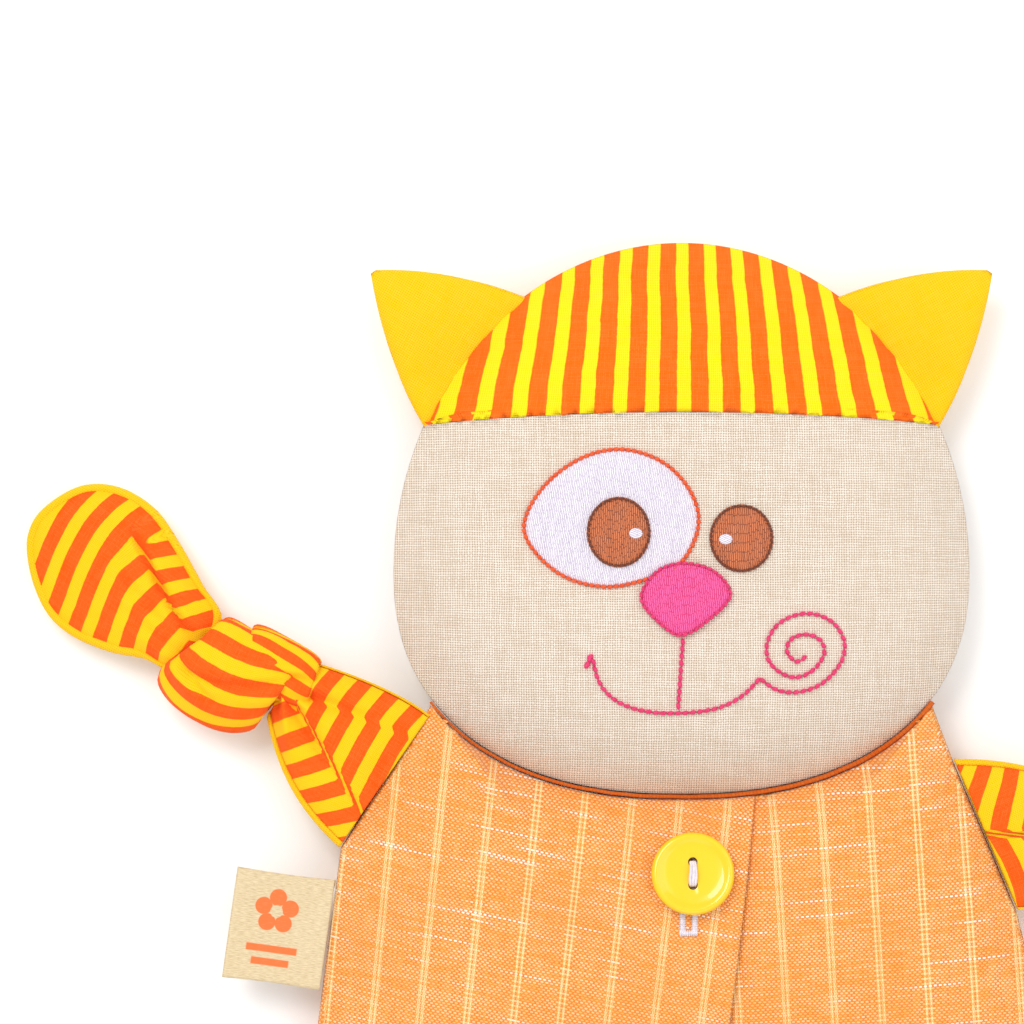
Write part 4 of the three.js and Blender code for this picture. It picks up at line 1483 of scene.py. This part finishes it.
@dataclass
class Button:
    """The button with its thread, and the stitched buttonhole below it."""

    coat: Coat
    radius: float = 10.0
    thick: float = 3.0
    rim: float = 1.5
    hole: float = 1.15
    spacing: float = 5.6
    slit: float = 21.0

    def seat(self) -> Matrix:
        """Return the button's place, tilted with the coat."""
        x, y = self.coat.button_at
        low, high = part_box("button")
        middle = (low[2] + high[2]) / 2 / METRES
        slope = (self.plain(x, y - 1) - self.plain(x, y + 1)) / 2
        turn = Matrix.Rotation(-math.atan(slope), 4, "X")
        return Matrix.Translation((x, y, middle)) @ turn @ Matrix.Translation(
            (0, 0, -self.thick / 2))

    def plain(self, x: float, y: float) -> float:
        """Return the coat's height without its folds."""
        return SEAM_Z + self.coat.crown * (1.0 - self.coat.outline.share(x, y) ** 5)

    def build(self) -> None:
        """Make the button, its thread and the buttonhole."""
        self.disc()
        self.thread()
        self.buttonhole()

    def disc(self) -> None:
        """Turn the disc and drill its holes."""
        r, t, rim = self.radius, self.thick, self.rim
        section = [(0.0, 0.0), (r - 2.2, 0.0), (r - 1.0, 0.15), (r - 0.3, 0.7), (r, 1.4),
                   (r - 0.1, 2.2), (r - 0.45, 2.75), (r - 0.95, t), (r - rim, 2.9),
                   (r - rim - 0.7, 2.45), (r - rim - 1.5, 2.22), (r - rim - 3.0, 2.15),
                   (3.4, 2.1), (0.0, 2.1)]
        disc = Cloth()
        line = [disc.bm.verts.new((x, 0.0, z)) for x, z in section]
        edges = [disc.bm.edges.new(pair) for pair in zip(line, line[1:])]
        bmesh.ops.spin(disc.bm, geom=line + edges, cent=(0, 0, 0), axis=(0, 0, 1), dvec=(0, 0, 0),
                       angle=math.tau, steps=96, use_merge=True)
        bmesh.ops.remove_doubles(disc.bm, verts=disc.bm.verts, dist=1e-4)
        bmesh.ops.recalc_face_normals(disc.bm, faces=disc.bm.faces)
        made = disc.move(self.seat()).finish("sewn_button", Finish.BUTTON)
        for side in (-1, 1):
            peg = Cloth()
            bmesh.ops.create_cone(peg.bm, cap_ends=True, segments=28, radius1=self.hole,
                                  radius2=self.hole, depth=12.0)
            peg.move(self.seat() @ Matrix.Translation((0, side * self.spacing / 2, 0)))
            tool = peg.finish("drill", Finish.BUTTON)
            drill = made.modifiers.new("hole", "BOOLEAN")
            drill.object, drill.operation, drill.solver = tool, "DIFFERENCE", "EXACT"
            bpy.context.view_layer.update()
            bored = bpy.data.meshes.new_from_object(made.evaluated_get(
                bpy.context.evaluated_depsgraph_get()))
            made.modifiers.clear()
            made.data = bored
            bpy.data.objects.remove(tool)
        for polygon in made.data.polygons:
            polygon.use_smooth = True
        edge = made.modifiers.new("soft_edge", "BEVEL")
        edge.width, edge.segments, edge.limit_method = 0.12 * METRES, 2, "ANGLE"
        edge.angle_limit = math.radians(40)
        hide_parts("button")
        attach(made, "button")
        LOG.info("%s", made.name)

    def thread(self) -> None:
        """Lay the strands over the button from hole to hole."""
        half = self.spacing / 2
        strands = []
        for k, (side, rise) in enumerate(((-0.55, 0.0), (0.1, 0.35), (0.6, 0.05), (-0.2, -0.1))):
            path = []
            for i in range(17):
                t = -1.0 + i / 8
                over = 2.35 + rise + 0.7 * (1 - t * t) if abs(t) < 0.99 else 0.6
                path.append(Vector((side + 0.12 * math.sin(3 * t + k), t * (half + 0.15), over)))
            path[0].z = path[-1].z = 0.4
            strands.append(Cloth.tube(path, lambda _: 0.38, 8))
        made = joined(strands).move(self.seat()).finish("button_strands", Finish.WHITE)
        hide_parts("button_thread")
        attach(made, "button")

    def buttonhole(self) -> None:
        """Stitch the slit's two sides and its ends."""
        x, y = self.coat.button_at
        middle = Vector((x - 1.0, y - 3.5))
        half = self.slit / 2
        stitch = Stitch(2.0, 0.55, 0.55, 0.0)

        def over(px: float, py: float) -> float:
            """Return the flap's height."""
            return self.coat.front(px, py) + 0.5

        sides = []
        for side in (-1.45, 1.45):
            path = [middle + Vector((side, -half + self.slit * k / 20)) for k in range(21)]
            sides.append(stitch.across(path, over, 0.42))
        for end in (-half - 0.4, half + 0.4):
            path = [middle + Vector((-2.2 + 4.4 * k / 6, end)) for k in range(7)]
            sides.append(Stitch(1.9, 0.55, 0.55, 0.0).across(path, over, 0.42))
        made = joined(sides).finish("buttonhole_stitches", Finish.WHITE)
        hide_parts("buttonhole_stitching")
        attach(made, "body")
        LOG.info("%s", made.name)


# ------------------------------------------------------------------ label


@dataclass
class Label:
    """The folded ribbon in the left side seam."""

    middle: tuple[float, float] = (-85.8, 14.7)
    outward: float = 172.0
    length: float = 24.0
    width: float = 27.0

    def build(self) -> None:
        """Fold the ribbon and sew it in."""
        gap = 0.55

        def rule(co: Vector) -> tuple[Vector, Vector]:
            """Lay one vertex of the ribbon, its first direction running out and back."""
            run = (co.x + 1) * (self.length + 1.0)
            y = co.y * self.width / 2
            out = self.length - 0.6
            if run <= out:
                x, z = run, gap
            elif run <= out + 1.6:
                turn = (run - out) / 1.6 * math.pi
                x, z = out + 0.6 * math.sin(turn), gap * math.cos(turn)
            else:
                x, z = max(0.0, 2 * out + 1.6 - run), -gap
            lift = 1.1 * (x / self.length) ** 2 * (0.6 + 0.4 * co.y) - 0.5 * math.sin(
                math.pi * x / self.length) * (1 - co.y * co.y)
            z += lift + 0.12 * waver(x, y, 7, 30)
            y *= 1.0 - 0.02 * math.sin(math.pi * x / self.length)
            return Vector((x + 0.3, y, z)), Vector((x if z > 0 else 60 + x, -y, 0.0))

        frame_ = Matrix.Translation((*self.middle, SEAM_Z)) @ Matrix.Rotation(
            math.radians(self.outward), 4, "Z")
        ribbon = Cloth.grid(90, 36).shape(rule).move(frame_)
        area = ribbon.area()
        bmesh.ops.recalc_face_normals(ribbon.bm, faces=ribbon.bm.faces)
        made = ribbon.finish("side_ribbon", Finish.LABEL, 0.25)
        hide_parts("side_label")
        declare(made, (27.0, 49.0), area, "folded")
        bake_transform(made)
        LOG.info("%s", made.name)


# ------------------------------------------------------------------ limbs


@dataclass
class Limb:
    """An arm or a leg: a flared top, a knot and a flat hand or foot, striped over yellow."""

    name: str
    paw: str
    root: tuple[float, float]
    angle: float  # heading of the limb out of its seam
    seam: float  # length of its seam
    lean: float
    knot_turn: float
    paw_turn: float
    mirror: bool = False
    upper_length: float = 30.0
    knot_length: float = 28.0
    paw_length: float = 50.0
    wrist: float = 17.0
    knot_z: float = 10.0
    paw_tip_z: float = 3.5
    cloth: float = 0.5

    def upper_frame(self) -> Matrix:
        """Return the frame of the seam, its X along the limb."""
        drop = math.asin((SEAM_Z - self.knot_z) / self.upper_length)
        return Matrix.Translation((*self.root, SEAM_Z)) @ Matrix.Rotation(
            math.radians(self.angle), 4, "Z") @ Matrix.Rotation(drop, 4, "Y")

    def knot_frame(self) -> Matrix:
        """Return the frame of the knot."""
        drop = math.asin((SEAM_Z - self.knot_z) / self.upper_length)
        return self.upper_frame() @ Matrix.Translation((self.upper_length, self.lean, 0)) @ (
            Matrix.Rotation(math.radians(self.knot_turn), 4, "Z") @ Matrix.Rotation(-drop, 4, "Y"))

    def paw_frame(self) -> Matrix:
        """Return the frame of the hand or foot."""
        drop = math.asin((self.knot_z - self.paw_tip_z) / self.paw_length)
        return self.knot_frame() @ Matrix.Translation((self.knot_length, 0, 0)) @ (
            Matrix.Rotation(math.radians(self.paw_turn), 4, "Z") @ Matrix.Rotation(drop, 4, "Y"))

    def flipped(self) -> Matrix:
        """Return the mirror that a limb of the other hand needs."""
        return Matrix.Scale(-1 if self.mirror else 1, 4, (0, 1, 0))

    def build(self) -> None:
        """Make the limb's cloths."""
        for front in (True, False):
            self.upper(front)
            self.leaf(front)
        self.knot()
        LOG.info("%s", self.name)

    def edges(self, share: float, inset: float) -> tuple[float, float]:
        """Return the upper part's two edges at a share of its length."""
        half, wrist = self.seam / 2, self.wrist / 2
        top = half - (half - wrist) * share ** 1.45
        bottom = half - (half - wrist) * share ** 2.5
        lean = (-self.lean if self.mirror else self.lean) * share
        return lean - top + 0.4 * inset, lean + bottom - inset

    def upper(self, front: bool) -> None:
        """Make the front or back cloth of the part between the seam and the knot."""
        sign = 1.0 if front else -1.0
        margin = 0.06 if front else 0.14
        inset = 1.6

        def rule(co: Vector) -> tuple[Vector, Vector]:
            """Lay one vertex."""
            share = (co.x + 1) / 2
            x = 0.2 + (self.upper_length + 2.5) * share
            reach = co.y * (1 + margin)
            across = max(-1.0, min(1.0, reach))
            across = 0.5 * across + 0.5 * math.sin(across * math.pi / 2)
            over = max(0.0, abs(reach) - 1.0) / margin
            low, high = self.edges(min(1.0, share), inset if front else 0.0)
            y = low + (high - low) * (1 + across) / 2
            pleat = self.pleats(x, y, front)
            loft = 3.2 * (1.0 - abs(across) ** 5) * ease(share, -0.12, 0.25)
            loft *= 1.0 - 0.3 * bump(x, 6.0)
            z = loft + 0.35 + pleat * (1.0 - abs(across) ** 4)
            if front:
                z += 0.9
                z -= 1.3 * over
                y -= math.copysign(0.8 * over, across)
            else:
                inner = math.copysign(1.0, across)
                roll = over * (2.6 if across > 0 else 1.4)
                y -= inner * max(0.0, roll - 0.6)
                z -= min(1.0, over * 2.2) * (loft + 0.35 + 1.5) - max(0.0, over - 0.6) * 2.0
            place = Vector((x, y, sign * max(z, 0.12) if front else -z))
            return place, self.stripe_place(x, y)

        cloth = Cloth.grid(54, 60).shape(rule).move(self.upper_frame() @ self.flipped())
        cloth.face_out(Vector((0, 0, sign)))
        part = "front" if front else "back"
        name = f"{self.name}_upper"
        area = cloth.area()
        made = cloth.finish(f"{name}_{part}_cloth", Finish.LIMB if front else Finish.YELLOW,
                            self.cloth)
        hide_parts(f"{name}_{part}")
        flat = (self.seam + 0.4, 37.4) if front else (self.seam + 6.6, 38.3)
        declare(made, flat, area, "gathered")
        self.bend(made, "body", self.name, self.upper_frame(), 0.0, 6.0)

    def pleats(self, x: float, y: float, front: bool) -> float:
        """Return the folds that spread from the knot towards the seam."""
        end = Vector((self.upper_length + 4.0, -self.lean if self.mirror else self.lean))
        away = Vector((x, y)) - end
        angle = math.degrees(math.atan2(away.y, -away.x))
        near = math.exp(-away.length / 17.0)
        fan = math.sin(math.radians(angle) * 9.0 + (0.6 if front else 2.0)) * 1.5 * near
        for turn, size in ((24.0, -1.5), (-14.0, -1.1), (50.0, 1.0)):
            offset = math.radians(angle - turn) * away.length
            fan += size * bump(offset, 1.2) * ease(away.length, 3.0, 8.0) * (
                1.0 - ease(away.length, 17.0, 29.0))
        return fan + 0.2 * waver(x, y, 6, 14)

    def stripe_place(self, x: float, y: float) -> Vector:
        """Return the place in the striped cloth, turned beyond the lower fold."""
        end = Vector((self.upper_length + 2.0, -self.lean if self.mirror else self.lean))
        away = Vector((x, y)) - end
        angle = math.degrees(math.atan2(away.y, -away.x))
        turned = ease(angle, 22.0, 26.0)
        kicked = ease(angle, -16.0, -12.0)
        lower = 0.76 * (x - 24.0) - 0.65 * (y - 12.0)
        u = x * (1 - turned) + (24.0 + lower) * turned + 1.4 * kicked
        u += 0.9 * math.sin(y * 0.16)
        return Vector((u, y, 0.0))

    def bend(self, made: bpy.types.Object, first: str, second: str, place: Matrix, start: float,
             end: float) -> None:
        """Bake a piece's place into its mesh."""
        low, high = (place @ Vector((at, 0, 0)) * METRES for at in (start, end))
        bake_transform(made)

    # ---- hand or foot

    LEAF = ((-3.0, -8.2), (6.3, -13.2), (17.5, -18.6), (27.0, -21.8), (37.2, -21.0), (45.2, -15.8),
            (49.6, -6.0), (49.0, 1.2), (44.6, 7.2), (38.2, 12.2), (31.6, 15.0), (24.0, 15.2),
            (15.0, 13.0), (7.6, 9.8), (-3.0, 7.0))
    FOLD = ((-2.0, 0.2), (3.0, -2.0), (7.7, -3.9), (14.0, -7.0), (20.2, -10.4), (27.0, -13.6),
            (33.0, -16.4))
    SECOND_FOLD = ((-2.0, 1.5), (6.0, 0.4), (12.0, -0.6), (17.0, -2.2))

    def leaf(self, front: bool) -> None:
        """Make the front or back cloth of the hand or foot."""
        outline = Outline(smooth_path(self.LEAF, 6, True), Vector((24.0, -2.5)))
        rings = [0.0, *(k / 22 for k in range(1, 19)), 0.86, 0.9, 0.93, 0.955, 0.975, 0.99, 1.0]
        rings += [1.02, 1.04] if front else [1.02, 1.04, 1.06, 1.08, 1.10]
        lips = {1.02: (0.1, 0.75), 1.04: (0.6, 1.5), 1.06: (1.3, 1.85), 1.08: (2.0, 1.5),
                1.1: (2.6, 0.7)}
        sign = 1.0 if front else -1.0

        def rule(co: Vector) -> tuple[Vector, Vector]:
            """Lay one vertex."""
            share = co.xy.length
            angle = math.atan2(co.y, co.x)
            reach = outline.reach(angle)
            ray = heading(angle)
            if front:
                reach -= 1.5 + 0.5 * waver(ray.x * 20, ray.y * 20, 8, 3)
            inside = min(1.0, share)
            flat = outline.middle + ray * (inside * reach)
            height = self.leaf_height(flat, inside, front)
            if front:
                z = height + 1.15 if share <= 1.005 else 0.9 - 18.0 * (share - 1.0)
                if share > 1.005:
                    flat = outline.middle + ray * (reach - 14.0 * (share - 1.0))
            else:
                z = -height
                if share > 1.005:
                    inward, z = lips[round(share, 2)]
                    flat = outline.middle + ray * (reach - inward)
            return Vector((flat.x, flat.y, z)), self.leaf_print(flat)

        cloth = Cloth.disc(rings, 132).shape(rule).move(self.paw_frame() @ self.flipped())
        cloth.face_out((self.paw_frame().to_3x3() @ Vector((0, 0, sign))))
        part = "front" if front else "back"
        area = cloth.area()
        made = cloth.finish(f"{self.paw}_{part}_cloth", Finish.LIMB if front else Finish.YELLOW,
                            self.cloth)
        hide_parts(f"{self.paw}_{part}")
        declare(made, (40.4, 54.5) if front else (46.3, 63.3), area, "gathered")
        self.bend(made, f"{self.name}_knot", self.paw, self.paw_frame(), -2.0, 7.0)

    def leaf_height(self, flat: Vector, share: float, front: bool) -> float:
        """Return how far the hand or foot stands from its middle plane."""
        soft = 1.0 - share ** 5
        near = math.exp(-max(0.0, flat.x) / 13.0)
        height = 2.5 * soft * (1.0 + 0.5 * near)
        height += soft * 0.3 * waver(flat.x, flat.y, 13, 17)
        height += soft * near * 1.0 * math.sin(flat.y * 1.15 + 0.6)
        if front:
            away, along = from_line(flat, self.FOLD)
            fade = 1.0 - ease(along, 26.0, 38.0)
            height -= soft * 2.0 * bump(away, 0.75) * fade
            height += soft * 1.3 * ease(-away, 0.0, 1.8) * (1.0 - ease(-away, 5.0, 8.5)) * fade
            height += soft * 0.6 * ease(away, 0.0, 1.8) * (1.0 - ease(away, 3.0, 9.0)) * fade
            away, along = from_line(flat, self.SECOND_FOLD)
            fade = 1.0 - ease(along, 10.0, 20.0)
            height -= soft * 1.1 * bump(away, 0.8) * fade
            height += soft * 0.7 * bump(away + 2.0, 1.3) * fade
        return height

    def leaf_print(self, flat: Vector) -> Vector:
        """Return the place in the striped cloth, stepping across the folds."""
        away, along = from_line(flat, self.FOLD)
        fade = 1.0 - ease(along, 27.0, 35.0)
        step = ease(-away, -0.35, 0.35) * fade
        bow = 0.006 * (flat.y + 2.0) ** 2
        main = flat.x + bow + 1.5 * math.sin(flat.y * 0.12)
        band = along * 1.02 + 1.9 - 0.25 * away
        main += 2.4 * (1.0 - ease(abs(away), 0.0, 9.0)) * fade * (1.0 - step)
        u = main * (1.0 - step) + band * step
        return Vector((u + 2.2, flat.y, 0.0))

    # ---- knot

    def knot(self) -> None:
        """Make the knot: a broad wrap, and a second turn of cloth behind it."""
        wide = self.wrap((2.0, 29.5), 0.0)
        small = self.wrap((-4.0, 16.0), 1.0)
        cloth = joined([wide, small]).move(self.knot_frame() @ self.flipped())
        bmesh.ops.recalc_face_normals(cloth.bm, faces=cloth.bm.faces)
        area = cloth.area()
        made = cloth.finish(f"{self.name}_knot_wrap", Finish.LIMB, 0.4)
        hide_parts(f"{self.name}_knot")
        declare(made, (28.0, 135.0), area, "gathered")
        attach(made, f"{self.name}_knot")

    def wrap(self, span: tuple[float, float], second: float) -> Cloth:
        """Turn one loop of cloth round the limb.

        Args:
            span: where it starts and ends along the limb.
            second: 0 for the broad loop, 1 for the smaller one behind it.

        Returns:
            An open tube with its ends rolled in.
        """
        cloth = Cloth()
        length = span[1] - span[0]
        steps = 34
        line = [cloth.bm.verts.new((k / steps, 0.0, 1.0)) for k in range(steps + 1)]
        edges = [cloth.bm.edges.new(pair) for pair in zip(line, line[1:])]
        bmesh.ops.spin(cloth.bm, geom=line + edges, cent=(0, 0, 0), axis=(1, 0, 0),
                       dvec=(0, 0, 0), angle=math.tau, steps=96, use_merge=True)

        def rule(co: Vector) -> tuple[Vector, Vector]:
            """Lay one vertex of the loop."""
            share = co.x
            turn = math.atan2(co.z, co.y)
            mid = 2.0 * share - 1.0
            rolled = max(0.0, abs(mid) - 0.86) / 0.14
            skew = 4.2 * math.cos(turn) if not second else -2.0 * math.cos(turn)
            x = span[0] + length * min(0.97, max(0.03, share)) + skew * (0.35 + 0.65 * share)
            x -= math.copysign(1.6 * rolled ** 2, mid)
            swell = (1.0 - abs(mid) ** 3.2) ** 0.5 if abs(mid) < 1 else 0.0
            if not second:
                half_y, half_z = 6.6 + 6.4 * swell, 5.6 + 3.7 * swell
                centre_y = 0.4 + 3.0 * math.sin(math.pi * share)
            else:
                half_y, centre_y, half_z = 4.6 + 3.6 * swell, -3.6, 4.2 + 2.9 * swell
            pleat = 0.7 * math.sin(turn * 5 + 2.2 * share + second) + 0.35 * math.sin(
                turn * 11 - 3 * share)
            pleat *= 0.45 + 0.55 * abs(mid)
            crease = -1.5 * bump(turn - 1.9 + 0.9 * share, 0.08) * (1 - abs(mid) ** 4)
            crease -= 1.4 * bump(turn - 0.75 - 0.5 * share, 0.08) * ease(share, 0.3, 0.7)
            crease -= 1.2 * bump(turn - 2.5 - 0.4 * share, 0.07) * (1 - ease(share, 0.35, 0.8))
            crease += 0.6 * bump(turn - 2.1 + 0.9 * share, 0.12) * (1 - abs(mid) ** 4)
            inner = 1.6 * rolled
            y = centre_y + (half_y + pleat + crease - inner) * math.cos(turn)
            z = (half_z + 0.6 * pleat + crease - inner) * math.sin(turn)
            round_ = turn * 10.6 + 2.6 * share * (1 if not second else -1) + second * 2.9
            return Vector((x, y, z)), Vector((round_, x, 0.0))

        return cloth.shape(rule)


# ------------------------------------------------------------------ studio


@dataclass
class Studio:
    """The floor, the lights and the camera."""

    camera_at: tuple[float, float, float] = (-0.0412, 0.1176, 1.222)
    lens: float = 175.0

    def build(self) -> None:
        """Set the scene."""
        floor = Cloth()
        bmesh.ops.create_grid(floor.bm, x_segments=1, y_segments=1, size=3000.0)
        made = floor.move(Matrix.Translation((0, 0, -0.3))).finish("floor", Finish.FLOOR)
        camera = bpy.data.cameras.new("camera")
        camera.lens, camera.sensor_width, camera.clip_end = self.lens, 36.0, 20.0
        eye = bpy.data.objects.new("camera", camera)
        eye.location = self.camera_at
        bpy.context.scene.collection.objects.link(eye)
        bpy.context.scene.camera = eye
        self.light("key", (-0.55, 0.75, 1.25), 0.7, 10.5)
        self.light("fill", (0.9, 0.3, 1.0), 1.2, 4.8)
        self.light("low", (0.0, -0.9, 0.8), 1.2, 2.6)
        world = bpy.data.worlds.new("studio")
        world.use_nodes = True
        ground = world.node_tree.nodes["Background"]
        ground.inputs[0].default_value = (1.0, 1.0, 1.0, 1.0)
        ground.inputs[1].default_value = 0.78
        bpy.context.scene.world = world
        bpy.context.scene.view_settings.view_transform = "Standard"

    def light(self, name: str, at: tuple[float, float, float], size: float, power: float) -> None:
        """Hang a soft light that faces the cat."""
        lamp = bpy.data.lights.new(name, "AREA")
        lamp.size, lamp.energy = size, power
        made = bpy.data.objects.new(name, lamp)
        made.location = at
        aim = Vector((0.0, 0.06, 0.0)) - Vector(at)
        made.rotation_euler = aim.to_track_quat("-Z", "Y").to_euler()
        bpy.context.scene.collection.objects.link(made)


def dress_frame() -> None:
    """Give the carried nodes that stay their finishes."""
    finishes = {"pouch_front": Finish.POUCH, "pouch_back": Finish.POUCH,
                "cherry_stone_filling": Finish.STONES}
    for node, finish in finishes.items():
        made = bpy.data.objects.get(node)
        if made:
            made.data.materials.clear()
            made.data.materials.append(material_of(finish))


LIMBS = (
    Limb("left_arm", "left_hand", (-72.0, 52.0), 145.5, 39.0, -5.0, 8.0, -8.0),
    Limb("right_arm", "right_hand", (73.75, 39.25), 23.0, 39.7, -14.0, -38.0, -10.0),
    Limb("left_leg", "left_foot", (-43.0, -62.0), -90.0, 38.0, -3.0, -6.0, -4.0),
    Limb("right_leg", "right_foot", (43.0, -62.0), -90.0, 38.0, 3.0, 6.0, 4.0, mirror=True),
)


def main() -> None:
    """Build the cat in order."""
    logging.basicConfig(level=logging.INFO, format="%(message)s")
    Studio().build()
    head = Head()
    head.build()
    Face(head).build()
    for side in (-1, 1):
        Ear(head, side).build()
    coat = Coat(head)
    coat.build()
    Button(coat).build()
    Label().build()
    for limb in LIMBS:
        limb.build()
    dress_frame()
    bpy.context.view_layer.update()


if __name__ == "__main__":
    main()
